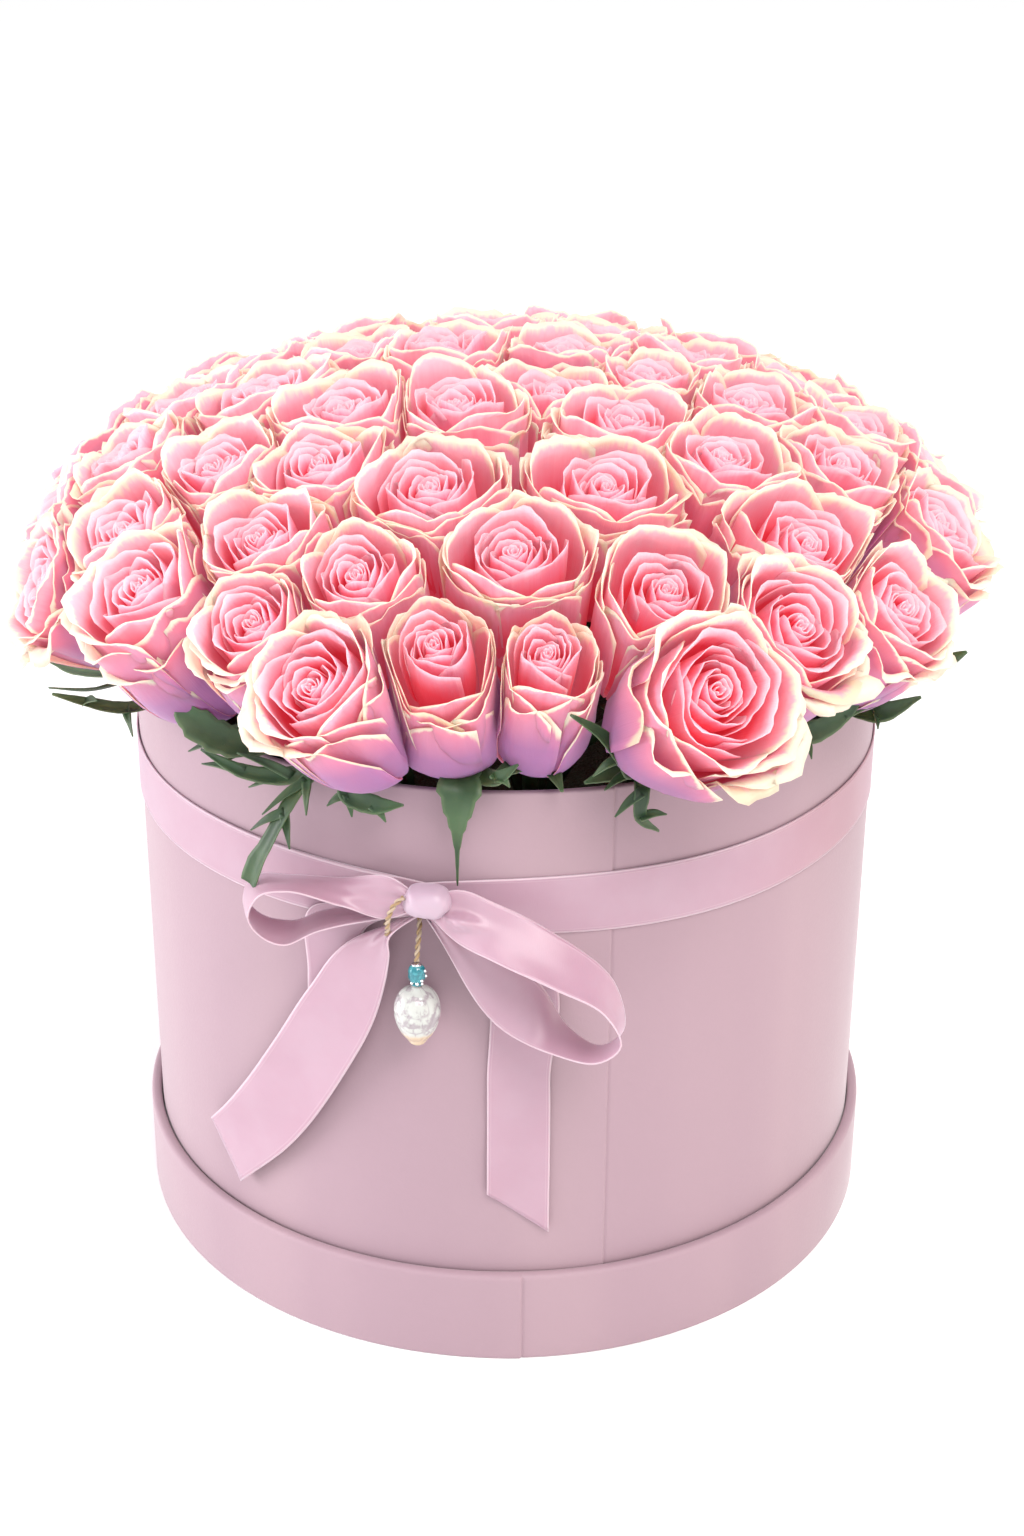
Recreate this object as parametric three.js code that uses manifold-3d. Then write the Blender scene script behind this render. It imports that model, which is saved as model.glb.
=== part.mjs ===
// Rose box: a round hat box filled with a dome of roses, tied with a satin ribbon and a bow.
// Millimetres, +Z up, origin at the centre of the box's underside, front of the box towards -Y.

import * as THREE from 'three';
import { mergeVertices } from 'three/addons/utils/BufferGeometryUtils.js';
import Module from 'manifold-3d';

const wasm = await Module();
wasm.setup();

// Driving dimensions of the box

const BOX_RADIUS = 130;
const BOX_HEIGHT = 214;
const WALL_THICKNESS = 2.6;
const COLLAR_RADIUS = 134.2;
const COLLAR_HEIGHT = 34.4;
const COLLAR_EDGE = 1.6;
const FLOOR_THICKNESS = 3;
const SEAT_GAP = 0.3;
const SCRAP_VOLUME = 1;
const BOX_SIDES = 36;

const LINER_THICKNESS = 1;
const LINER_TOP = 160;
const LINER_SIDES = 24;
const FOAM_TOP = 165;
const HOLE_FLOOR = 116;
const HOLE_OVERRUN = 2;
const SINGLE_HOLE = { radius: 3.6, sides: 6 };
const BUNCH_HOLE = { radius: 5.2, sides: 8 };

// Driving dimensions of the ribbon and the pendant

const RIBBON_THICKNESS = 0.8;
const BAND_BOTTOM = 164;
const BAND_TOP = 185;
const KNOT_AZIMUTH = -11;
const KNOT_CENTRE = [2, 179, 10];
const KNOT_SIZE = [7.5, 6.8, 5.6];
const CORD_DIAMETER = 1.8;
const PENDANT_ACROSS = -1.2;
const PENDANT_OUT = 9;

// Driving dimensions of the roses

const BLOOM_LENGTH = 50;
const BLOOM_GAP = 0.15;
const BLOOM_PRESS = 0.8;
const BLOOM_DRAW = 2.5;
const FIRM_SEAT = 0.35;
const SOFT_REACH = 6;
const CELL_REACH = 84;
const CROWD_EASE = 0.002;
const CLAMP_PASSES = 30;
const CALYX_GAP = 0.3;
const CALYX_RADIUS = 5;
const STEM_RADIUS = 2.6;
const STEM_SPREAD = 1.6;
const STEM_PULL = 0.8;
const NECK_DEPTH = 9;
const NECK_LEAN = 30;
const STEM_RISE = 34;
const STEM_UPRIGHT = 8;
const SINGLE_STEM_SIDES = 6;
const BUNCH_STEM_SIDES = 4;
const SEPAL_SPREAD = 0.9;
const LEAF_KEEL = 1.1;
const LEAF_ROOT_DEPTH = 5;
const LEAF_FACING_UP = 0.8;
const LOBE_WIDTHS = [3.5, 0.8];

// Materials

const finish = (color, roughness, metalness = 0) => new THREE.MeshStandardMaterial({
  color,
  roughness,
  metalness,
});
const MATERIALS = {
  wrap: () => finish(0xd9b3bb, 0.75),
  liner: () => finish(0xc9c9c4, 0.5),
  foam: () => finish(0x3f6b46, 0.95),
  satin: () => finish(0xe0b4c6, 0.4),
  cord: () => finish(0xcdb38a, 0.7),
  bead: () => finish(0x1f9fae, 0.25),
  pearl: () => finish(0xf1eee6, 0.3),
  petal: () => finish(0xf3b3bd, 0.6),
  green: () => finish(0x4c5c3c, 0.7),
};

const rad = THREE.MathUtils.degToRad;

// Point at an azimuth from the front, a distance from the box's axis and a height
function polar(azimuth, reach, height) {
  return new THREE.Vector3(Math.sin(rad(azimuth)) * reach, -Math.cos(rad(azimuth)) * reach, height);
}

// Solids

function toSolid(geometry) {
  const bare = geometry.index ? geometry.clone() : geometry;
  bare.deleteAttribute('normal');
  bare.deleteAttribute('uv');
  const merged = mergeVertices(bare, 1e-4);
  return new wasm.Manifold(new wasm.Mesh({
    numProp: 3,
    vertProperties: new Float32Array(merged.attributes.position.array),
    triVerts: new Uint32Array(merged.index.array),
  }));
}

function toGeometry(solid) {
  const mesh = solid.getMesh();
  const points = new Float32Array(mesh.numVert * 3);
  for (let i = 0; i < mesh.numVert; i += 1) {
    for (let axis = 0; axis < 3; axis += 1) {
      points[3 * i + axis] = mesh.vertProperties[mesh.numProp * i + axis];
    }
  }
  const geometry = new THREE.BufferGeometry();
  geometry.setAttribute('position', new THREE.BufferAttribute(points, 3));
  geometry.setIndex(new THREE.BufferAttribute(new Uint32Array(mesh.triVerts), 1));
  return geometry;
}

// One body from several that run into each other, without the scraps that the joins leave
function joined(geometries) {
  const whole = geometries.map(toSolid).reduce((sum, next) => sum.add(next));
  const bodies = whole.decompose().filter((body) => body.volume() > SCRAP_VOLUME);
  return toGeometry(bodies.reduce((sum, next) => sum.add(next)));
}

// Negative where the faces of a closed body point inwards
function signedVolume(points, faces) {
  let volume = 0;
  for (let i = 0; i < faces.length; i += 3) {
    const [a, b, c] = [points[faces[i]], points[faces[i + 1]], points[faces[i + 2]]];
    volume += a.dot(b.clone().cross(c));
  }
  return volume;
}

// Closed body from rings of points: each ring has the same number of points, the ends are fans
function ringBody(rings, start, end) {
  const count = rings[0].length;
  const points = [start, ...rings.flat(), end];
  const last = points.length - 1;
  const at = (ring, i) => 1 + ring * count + (i % count);
  const faces = [];
  for (let i = 0; i < count; i += 1) {
    faces.push(0, at(0, i + 1), at(0, i));
    faces.push(last, at(rings.length - 1, i), at(rings.length - 1, i + 1));
  }
  for (let ring = 0; ring + 1 < rings.length; ring += 1) {
    for (let i = 0; i < count; i += 1) {
      faces.push(at(ring, i), at(ring, i + 1), at(ring + 1, i + 1));
      faces.push(at(ring, i), at(ring + 1, i + 1), at(ring + 1, i));
    }
  }
  if (signedVolume(points, faces) < 0) {
    faces.reverse();
  }
  const geometry = new THREE.BufferGeometry();
  geometry.setAttribute('position', new THREE.BufferAttribute(
    new Float32Array(points.flatMap((point) => [point.x, point.y, point.z])),
    3,
  ));
  geometry.setIndex(faces);
  return geometry;
}

// Round body of varying radius along a path
function taperedStem(centres, radii, sides) {
  const rings = [];
  let across = null;
  centres.forEach((centre, i) => {
    const before = centres[Math.max(i - 1, 0)];
    const after = centres[Math.min(i + 1, centres.length - 1)];
    const along = after.clone().sub(before).normalize();
    if (across === null) {
      across = new THREE.Vector3(1, 0, 0).cross(along).normalize();
    }
    across = across.clone().addScaledVector(along, -across.dot(along)).normalize();
    const up = along.clone().cross(across);
    const ring = [];
    for (let side = 0; side < sides; side += 1) {
      const angle = 2 * Math.PI * side / sides;
      ring.push(centre.clone()
        .addScaledVector(across, radii[i] * Math.cos(angle))
        .addScaledVector(up, radii[i] * Math.sin(angle)));
    }
    rings.push(ring);
  });
  return ringBody(rings, centres[0], centres[centres.length - 1]);
}

function middle(ring) {
  return ring.reduce((sum, point) => sum.add(point), new THREE.Vector3()).divideScalar(ring.length);
}

// Flat strip with a thickness, from pairs of edge points
function strip(pairs, thickness) {
  const rings = pairs.map(([left, right], i) => {
    const [beforeLeft, beforeRight] = pairs[Math.max(i - 1, 0)];
    const [afterLeft, afterRight] = pairs[Math.min(i + 1, pairs.length - 1)];
    const along = afterLeft.clone().add(afterRight).sub(beforeLeft).sub(beforeRight);
    const face = along.cross(right.clone().sub(left)).normalize().multiplyScalar(thickness / 2);
    return [
      left.clone().sub(face),
      right.clone().sub(face),
      right.clone().add(face),
      left.clone().add(face),
    ];
  });
  return ringBody(rings, middle(rings[0]), middle(rings[rings.length - 1]));
}

// Blade of a leaf or a sepal along a route, its width turned flat to a facing, with a keel below
function blade(route, widths, facing) {
  const rings = route.map((point, i) => {
    const along = route[Math.min(i + 1, route.length - 1)].clone().sub(route[Math.max(i - 1, 0)]);
    const side = along.clone().cross(facing).normalize();
    const keel = along.cross(side).normalize();
    const keelDepth = keel.dot(facing) > 0 ? -LEAF_KEEL : LEAF_KEEL;
    return [
      point.clone().addScaledVector(side, -widths[i] / 2),
      point.clone().addScaledVector(side, widths[i] / 2),
      point.clone().addScaledVector(keel, keelDepth),
    ];
  });
  return ringBody(rings, middle(rings[0]), middle(rings[rings.length - 1]));
}

// Box: tray with a collar, wall, liner and foam

function turned(profile, sides) {
  return new THREE.LatheGeometry(profile.map(([x, y]) => new THREE.Vector2(x, y)), sides)
    .rotateX(Math.PI / 2);
}

function boxBase() {
  const inner = BOX_RADIUS + SEAT_GAP;
  return turned([
    [0, 0],
    [COLLAR_RADIUS, 0],
    [COLLAR_RADIUS, COLLAR_HEIGHT - COLLAR_EDGE],
    [COLLAR_RADIUS - COLLAR_EDGE, COLLAR_HEIGHT],
    [inner, COLLAR_HEIGHT],
    [inner, FLOOR_THICKNESS],
    [0, FLOOR_THICKNESS],
  ], BOX_SIDES);
}

function boxWall() {
  const inner = BOX_RADIUS - WALL_THICKNESS;
  const bottom = FLOOR_THICKNESS + SEAT_GAP;
  const edge = WALL_THICKNESS / 4;
  return turned([
    [inner, bottom],
    [BOX_RADIUS, bottom],
    [BOX_RADIUS, BOX_HEIGHT - edge],
    [BOX_RADIUS - edge, BOX_HEIGHT],
    [inner, BOX_HEIGHT],
    [inner, bottom],
  ], BOX_SIDES);
}

const LINER_RADIUS = BOX_RADIUS - WALL_THICKNESS - 1;
const FOAM_RADIUS = LINER_RADIUS - LINER_THICKNESS - 1;
const LINER_BOTTOM = FLOOR_THICKNESS + SEAT_GAP;
const FOAM_BOTTOM = LINER_BOTTOM + LINER_THICKNESS + SEAT_GAP;

function liner() {
  const inner = LINER_RADIUS - LINER_THICKNESS;
  return turned([
    [0, LINER_BOTTOM],
    [LINER_RADIUS, LINER_BOTTOM],
    [LINER_RADIUS, LINER_TOP],
    [inner, LINER_TOP],
    [inner, LINER_BOTTOM + LINER_THICKNESS],
    [0, LINER_BOTTOM + LINER_THICKNESS],
  ], LINER_SIDES);
}

function foam(holes) {
  let block = toSolid(new THREE.CylinderGeometry(
    FOAM_RADIUS,
    FOAM_RADIUS,
    FOAM_TOP - FOAM_BOTTOM,
    LINER_SIDES,
  ).rotateX(Math.PI / 2).translate(0, 0, (FOAM_TOP + FOAM_BOTTOM) / 2));
  holes.forEach(({ foot, radius, sides }) => {
    const depth = FOAM_TOP - HOLE_FLOOR + HOLE_OVERRUN;
    const bore = new THREE.CylinderGeometry(radius, radius, depth, sides)
      .rotateX(Math.PI / 2)
      .translate(foot.x, foot.y, HOLE_FLOOR - SEAT_GAP + depth / 2);
    block = block.subtract(toSolid(bore));
  });
  return toGeometry(block);
}

// Ribbon: band round the wall, and the bow in the frame of the knot

function ribbonBand() {
  const inner = BOX_RADIUS + SEAT_GAP;
  const outer = inner + RIBBON_THICKNESS;
  return turned([
    [inner, BAND_BOTTOM],
    [outer, BAND_BOTTOM],
    [outer, BAND_TOP],
    [inner, BAND_TOP],
    [inner, BAND_BOTTOM],
  ], BOX_SIDES);
}

// Point near the knot: across to the right, up from the ground, and out from the wall
const KNOT_RIGHT = polar(KNOT_AZIMUTH + 90, 1, 0);
const KNOT_OUT = polar(KNOT_AZIMUTH, 1, 0);
function byKnot([across, height, out]) {
  return new THREE.Vector3(0, 0, height)
    .addScaledVector(KNOT_RIGHT, across)
    .addScaledVector(KNOT_OUT, BOX_RADIUS + out);
}

// Each row holds the front edge and the back edge of the ribbon
const LEFT_LOOP = [
  [[0, 178, 11], [0, 181, 9]],
  [[-9.9, 173.5, 11], [-9.2, 186.6, 8]],
  [[-24, 178, 14], [-26, 182.5, 4]],
  [[-40, 184, 19], [-43, 180.5, 2]],
  [[-49, 181, 20], [-55, 179, 2]],
  [[-52, 174, 20], [-58.5, 173, 3]],
  [[-48.5, 166, 18], [-53, 165, 2]],
  [[-42, 163.4, 17], [-44, 163, 0]],
  [[-33, 167, 13], [-34, 168, 1]],
  [[-2, 175, 9.5], [-2, 177, 7]],
];
const RIGHT_LOOP = [
  [[2, 178, 11], [2, 181, 8.5]],
  [[11.6, 170, 14], [12, 184.5, 8]],
  [[26.7, 166.7, 20], [24.2, 180.9, 8]],
  [[43.9, 162.5, 24], [39.5, 174.7, 9]],
  [[61.6, 155.6, 26], [61.8, 159, 11]],
  [[66, 144, 24.5], [65, 142, 10]],
  [[57.4, 134.1, 20], [57, 133, 7]],
  [[42.6, 133.1, 15], [46, 136.5, 3]],
  [[28.6, 136, 11], [38, 149, 2]],
  [[2, 173, 8], [4, 175.5, 6]],
];
const LEFT_TAIL = [
  [[-1, 176, 8], [0, 175, 9.5]],
  [[-12, 168, 5.5], [-10, 167, 7]],
  [[-21.9, 161.8, 4.2], [-10, 160.5, 7.7]],
  [[-39.5, 138.2, -0.4], [-16, 133.2, 6.6]],
  [[-52.6, 114.8, -5.7], [-26.8, 110.1, 3.8]],
  [[-73.7, 79.7, -18.1], [-51.1, 70.4, -5.6]],
  [[-83.2, 66.6, -24.9], [-70.6, 47.7, -16.1]],
];
const RIGHT_TAIL = [
  [[2, 176, 7.5], [5, 177, 6]],
  [[14, 160, 2.2], [22, 167, 1.6]],
  [[19.2, 148, 0.1], [38, 153, -4]],
  [[19.5, 110, 0.1], [39.5, 110, -4.2]],
  [[19.5, 66.3, 0.2], [39.7, 50.9, -4.2]],
];
const UNDER_TAIL = [
  [[1, 176, 9], [0, 178, 9]],
  [[-14, 168, 2.6], [-16, 172, 2.4]],
  [[-21, 160, 0.4], [-38, 167, -3.6]],
  [[-20, 138, 0.6], [-40.5, 142, -4.4]],
  [[-20, 126, 0.6], [-40.5, 114, -4.4]],
];

function ribbonBow() {
  const knot = new THREE.SphereGeometry(1, 10, 7)
    .scale(...KNOT_SIZE)
    .applyMatrix4(new THREE.Matrix4().makeBasis(
      KNOT_RIGHT,
      new THREE.Vector3(0, 0, 1),
      KNOT_OUT,
    ))
    .translate(...byKnot(KNOT_CENTRE).toArray());
  const lengths = [LEFT_LOOP, RIGHT_LOOP, LEFT_TAIL, RIGHT_TAIL, UNDER_TAIL];
  const ribbons = lengths.map((rows) => strip(
    rows.map((pair) => pair.map(byKnot)),
    RIBBON_THICKNESS,
  ));
  return joined([knot, ...ribbons]);
}

// Pendant: a cord caught at the knot, a bead and a drop

const CORD_ROUTE = [
  [-7, 184.3, 13.2],
  [-8.6, 179.5, 14.2],
  [-9, 174, 13.4],
  [-8.6, 168.5, 11],
  [-7.4, 164.6, 8],
  [-5.6, 164.2, 4.6],
  [-3.4, 167.5, 2.9],
  [-1.4, 169.6, 3.1],
  [-0.6, 168.4, 5.2],
  [-0.8, 165, 7.4],
  [-1.1, 161.4, 8.6],
  [PENDANT_ACROSS, 158, PENDANT_OUT],
];

function pendantCord() {
  const curve = new THREE.CatmullRomCurve3(CORD_ROUTE.map(byKnot), false, 'centripetal');
  const section = new THREE.Shape();
  section.absarc(0, 0, CORD_DIAMETER / 2, 0, 2 * Math.PI);
  return new THREE.ExtrudeGeometry(section, {
    steps: 11,
    curveSegments: 4,
    bevelEnabled: false,
    extrudePath: curve,
  });
}

function pendantPiece(profile, sides) {
  const place = byKnot([PENDANT_ACROSS, 0, PENDANT_OUT]);
  return turned(profile, sides).translate(place.x, place.y, 0);
}

const BEAD = [[0, 150], [2, 150.2], [2.6, 152], [2.6, 155.5], [1.9, 157.6], [0, 157.7]];
const DROP = [[0, 127.5], [1.2, 128], [4.6, 131.5], [7, 136], [7.4, 141], [5.6, 145.6], [2.6, 148],
  [2, 149.7], [0, 149.7]];

// Roses: azimuth from the front, reach from the box's axis, height of the face, lean from upright,
// girth (the radius of the open head) and the turn of the petals about the stem

const RIM_ROSES = {
  rim_rose_01: [-89, 158, 263, 53, 25, 10],
  rim_rose_02: [-70, 166, 254, 66, 24, 40],
  rim_rose_03: [-50, 154, 271, 46, 26, 0],
  rim_rose_04: [-32, 149, 272, 42, 22, 70],
  rim_rose_05: [-20, 168, 263, 58, 25, 20],
  rim_rose_06: [-8, 150, 273, 42, 21, 50],
  rim_rose_07: [5, 151, 272, 42, 18, 30],
  rim_rose_08: [22, 172, 260, 62, 29, 15],
  rim_rose_09: [35, 156, 272, 45, 26, 60],
  rim_rose_10: [51, 162, 266, 52, 24, 0],
  rim_rose_11: [74, 153, 271, 43, 27, 25],
  rim_rose_12: [95, 152, 271, 43, 25, 45],
};
const BUNCHES = {
  rose_bunch_01: [[-63, 140, 280, 33, 23, 0], [-86, 133, 284, 33, 23, 30], [-62, 107, 296, 22, 23, 60]],
  rose_bunch_02: [[-38, 125, 289, 27, 22, 15], [-21, 129, 286, 29, 21, 50], [-42, 90, 302, 17, 24, 80]],
  rose_bunch_03: [
    [2, 119, 292, 24, 24, 0],
    [21, 138, 283, 32, 23, 40],
    [20, 89, 302, 16, 25, 70],
    [-15, 92, 302, 17, 25, 41],
  ],
  rose_bunch_04: [[46, 131, 286, 29, 25, 20], [50, 93, 302, 17, 24, 55], [42, 58, 309, 10, 23, 45]],
  rose_bunch_05: [[-60, 62, 309, 11, 25, 65], [-27, 36, 312, 6, 24, 10], [43, 21, 310, 4, 23, 30]],
  rose_bunch_06: [
    [70, 118, 293, 24, 24, 5],
    [84, 84, 304, 15, 25, 25],
    [93, 121, 291, 25, 24, 0],
    [92, 50, 310, 9, 22, 35],
  ],
  rose_bunch_07: [
    [112, 114, 293, 24, 24, 60],
    [114, 152, 271, 43, 27, 20],
    [124, 78, 305, 14, 24, 48],
    [149, 73, 306, 13, 25, 10],
  ],
  rose_bunch_08: [[134, 151, 272, 42, 26, 15], [154, 152, 271, 43, 26, 45], [138, 119, 293, 24, 25, 75]],
  rose_bunch_09: [
    [135, 31, 312, 6, 24, 5],
    [-178, 77, 306, 13, 24, 65],
    [-144, 37, 312, 7, 25, 76],
    [-128, 66, 307, 12, 23, 35],
  ],
  rose_bunch_10: [[167, 118, 293, 24, 25, 5], [174, 151, 272, 42, 27, 35]],
  rose_bunch_11: [[-167, 114, 294, 23, 25, 50], [-166, 152, 271, 43, 26, 0]],
  rose_bunch_12: [[-146, 152, 271, 43, 26, 55], [-145, 108, 297, 22, 25, 25], [-122, 113, 294, 23, 25, 5]],
  rose_bunch_13: [
    [-126, 151, 272, 43, 26, 30],
    [-107, 152, 271, 43, 27, 20],
    [-104, 118, 292, 24, 24, 70],
    [-94, 84, 303, 16, 25, 40],
  ],
};

// Green blades of the rim roses: a route from the calyx, its widths, and side lobes from a step of it
const LEAVES = {
  rim_rose_01: [
    { route: [[-88, 128, 223], [-86, 146, 222], [-85, 158, 227]], widths: [5, 8, 6, 1] },
  ],
  rim_rose_02: [
    { route: [[-67, 130, 221], [-65, 150, 221], [-63, 166, 228]], widths: [4, 6, 5, 1] },
  ],
  rim_rose_03: [
    {
      route: [[-56, 130, 220], [-59, 144, 216], [-61, 156, 219], [-62, 166, 223]],
      widths: [4, 6, 6, 4, 1],
      lobes: [[1, -55, 147, 211]],
    },
  ],
  rim_rose_04: [
    {
      route: [[-36, 129, 221], [-41, 139, 221], [-46, 147, 229]],
      widths: [4, 9, 11, 1],
      lobes: [[1, -44, 144, 215], [0, -40, 140, 215]],
    },
  ],
  rim_rose_05: [
    {
      route: [[-24, 132, 220], [-30, 136, 215.5], [-36.5, 140, 217], [-42.5, 144, 223]],
      widths: [4, 5, 6, 5, 1],
      lobes: [[2, -42, 143, 213.5], [1, -35, 140, 211]],
    },
    {
      route: [[-24, 135.5, 216], [-31.2, 135.5, 197], [-35.5, 134.5, 179]],
      widths: [4, 5, 5, 7],
      lobes: [[1, -35, 136.5, 203]],
    },
    { route: [[-17, 134, 219], [-13, 138, 215]], widths: [4, 6, 1] },
  ],
  rim_rose_06: [
    {
      route: [[-6, 128, 223.5], [-5.8, 138, 219], [-6, 138, 208], [-6.3, 135, 184]],
      widths: [4, 8, 9, 6, 1],
    },
  ],
  rim_rose_07: [
    { route: [[2, 127, 223.5], [-2, 138, 225]], widths: [4, 7, 1] },
    { route: [[6, 128, 222.5], [7, 140, 221]], widths: [4, 6, 1] },
  ],
  rim_rose_08: [
    { route: [[15, 132, 221.5], [10, 137, 222]], widths: [4, 7, 1] },
    {
      route: [[18, 133, 218.5], [17, 141, 217], [17, 140, 208], [20, 138, 201]],
      widths: [3, 5, 5, 4, 1],
      lobes: [[2, 20.5, 141, 208]],
    },
    { route: [[21.5, 134, 217.5], [24, 146, 219]], widths: [4, 6, 1] },
  ],
  rim_rose_09: [
    {
      route: [[39, 128, 223], [43, 139, 221], [48, 149, 228]],
      widths: [4, 7, 7, 1],
      lobes: [[1, 40, 148, 218]],
    },
  ],
  rim_rose_10: [
    {
      route: [[52, 131, 222], [53, 147, 222], [57, 158, 227]],
      widths: [4, 8, 8, 1],
      lobes: [[1, 49, 155, 223]],
    },
  ],
  rim_rose_11: [
    { route: [[71, 128, 223], [68, 146, 223], [66, 158, 228]], widths: [4, 7, 6, 1] },
  ],
  rim_rose_12: [
    { route: [[96, 128, 223], [98, 146, 223], [99, 157, 228]], widths: [4, 7, 6, 1] },
  ],
};

// Profile of a bloom from its seat to its heart: height, reach, petals round, and how far the petals
// swell out and rise there. Each high ring is the lip of a layer of petals, each low one the groove
// behind the next layer.
const RIM_PROFILE = {
  columns: 10,
  heart: 0.93,
  rings: [
    [0, 0.17, 5, 0, 0],
    [0.1, 0.5, 5, 0.03, 0],
    [0.32, 0.76, 5, 0.04, 0],
    [0.78, 0.88, 5, 0.05, 0],
    [0.93, 1.02, 5, 0.09, 0.03],
    [0.965, 0.9, 5, 0.07, 0.03],
    [0.83, 0.74, 5, 0.04, 0.01],
    [0.975, 0.66, 4, 0.07, 0.03],
    [0.86, 0.5, 4, 0.04, 0.01],
    [1, 0.43, 3, 0.06, 0.02],
    [0.88, 0.29, 3, 0.02, 0],
    [0.99, 0.21, 3, 0.03, 0.01],
    [0.91, 0.09, 3, 0, 0],
  ],
};
const INNER_PROFILE = {
  columns: 8,
  heart: 0.88,
  rings: [
    [0, 0.17, 5, 0, 0],
    [0.42, 0.82, 5, 0.03, 0],
    [0.93, 1.02, 5, 0.07, 0.03],
    [0.82, 0.76, 5, 0.04, 0.01],
    [0.97, 0.66, 4, 0.06, 0.03],
    [0.86, 0.45, 4, 0.03, 0],
    [1, 0.33, 3, 0.05, 0.02],
  ],
};

function roseFrame([azimuth, reach, height, lean, girth, turn]) {
  const axis = polar(azimuth, Math.sin(rad(lean)), Math.cos(rad(lean)));
  const face = polar(azimuth, reach, height);
  const side = polar(azimuth + 90, 1, 0);
  return {
    axis,
    side,
    up: axis.clone().cross(side),
    seat: face.clone().addScaledVector(axis, -BLOOM_LENGTH),
    heart: face.clone().addScaledVector(axis, -BLOOM_LENGTH / 4),
    girth,
    turn: rad(turn),
  };
}

// Plane between two roses that press on each other, nearer to the slimmer one
function borderBetween(rose, other, mates) {
  const normal = other.heart.clone().sub(rose.heart);
  const apart = normal.length();
  normal.normalize();
  const share = apart * rose.girth / (rose.girth + other.girth);
  return { normal, point: rose.heart.clone().addScaledVector(normal, share), mates };
}

// Petals near a border are pushed back softly, so that they crowd up against it and never cross it.
// The foot of the bloom is firm and gives less. A point that is pushed further ends a little nearer
// to the heart, so that no two points meet.
function crowded(point, borders, height, heart) {
  const place = point.clone();
  const give = Math.min(1, height / FIRM_SEAT);
  borders.forEach(({ normal, point: onBorder, mates }) => {
    const depth = place.clone().sub(onBorder).dot(normal);
    if (!mates && depth > -SOFT_REACH) {
      const room = SOFT_REACH - BLOOM_GAP;
      const pressed = -BLOOM_GAP - room * Math.exp(-(depth + SOFT_REACH) / room);
      place.addScaledVector(normal, (pressed - depth) * give);
    }
  });
  for (let pass = 0; pass < CLAMP_PASSES; pass += 1) {
    borders.forEach(({ normal, point: onBorder, mates }) => {
      const depth = place.clone().sub(onBorder).dot(normal);
      const limit = mates ? BLOOM_PRESS : -BLOOM_GAP;
      if (depth > limit) {
        place.addScaledVector(normal, limit - depth);
      }
    });
  }
  return place.lerp(heart, CROWD_EASE * place.distanceTo(point));
}

// Mates of one bunch lean on each other: the side that faces a mate is drawn out until they touch
function drawToMates(rows, rings, rose, borders) {
  borders.filter(({ mates }) => mates).forEach(({ normal, point: onBorder }) => {
    const depthOf = (point) => point.clone().sub(onBorder).dot(normal);
    const missing = BLOOM_PRESS + BLOOM_DRAW - Math.max(...rows.flat().map(depthOf));
    const inside = depthOf(rose.heart);
    rows.forEach((row, ring) => row.forEach((point) => {
      const share = Math.max(0, 1 - depthOf(point) / inside);
      const give = Math.min(1, rings[ring][0] / FIRM_SEAT);
      point.addScaledVector(normal, Math.max(0, missing) * share * share * give);
    }));
  });
}

function bloom(rose, borders, { columns, heart, rings }) {
  const points = rings.map(([height, reach, petals, swell, rise], ring) => {
    const row = [];
    for (let column = 0; column < columns; column += 1) {
      const angle = 2 * Math.PI * (column + (ring % 2) / 2) / columns;
      const wave = Math.cos(petals * angle + rose.turn * petals + ring);
      const out = rose.girth * (reach + swell * wave);
      row.push(rose.seat.clone()
        .addScaledVector(rose.axis, BLOOM_LENGTH * (height + rise * wave))
        .addScaledVector(rose.side, out * Math.cos(angle + rose.turn))
        .addScaledVector(rose.up, out * Math.sin(angle + rose.turn)));
    }
    return row;
  });
  drawToMates(points, rings, rose, borders);
  const centre = rose.seat.clone().addScaledVector(rose.axis, BLOOM_LENGTH * heart);
  return ringBody(
    points.map((row, ring) => row.map((point) => (
      crowded(point, borders, rings[ring][0], rose.heart)
    ))),
    crowded(rose.seat, borders, 0, rose.heart),
    crowded(centre, borders, heart, rose.heart),
  );
}

// Stem with its calyx: from under the bloom down into its hole in the foam
function stem(rose, foot, sides) {
  const below = (depth) => rose.seat.clone().addScaledVector(rose.axis, -depth);
  const neck = below(NECK_DEPTH);
  const top = foot.clone().setZ(FOAM_TOP + STEM_UPRIGHT);
  const bend = new THREE.CubicBezierCurve3(
    neck,
    below(NECK_LEAN),
    top.clone().setZ(FOAM_TOP + STEM_RISE),
    top,
  ).getPoint(0.5);
  const centres = [below(CALYX_GAP), neck, bend, top, foot.clone().setZ(HOLE_FLOOR)];
  const radii = [CALYX_RADIUS, STEM_RADIUS, STEM_RADIUS, STEM_RADIUS, STEM_RADIUS];
  return taperedStem(centres, radii, sides);
}

// Two short sepals on the inner side of a rim rose, bent back under the bloom
function shortSepals(rose) {
  return [-1, 1].map((step) => {
    const angle = Math.PI / 2 + step * SEPAL_SPREAD;
    const out = rose.side.clone().multiplyScalar(Math.cos(angle))
      .addScaledVector(rose.up, Math.sin(angle));
    const at = (reach, height) => rose.seat.clone()
      .addScaledVector(out, reach)
      .addScaledVector(rose.axis, height);
    return blade([at(2.5, -2.5), at(8, -3), at(12, -7)], [4, 5, 1], rose.axis);
  });
}

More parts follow.
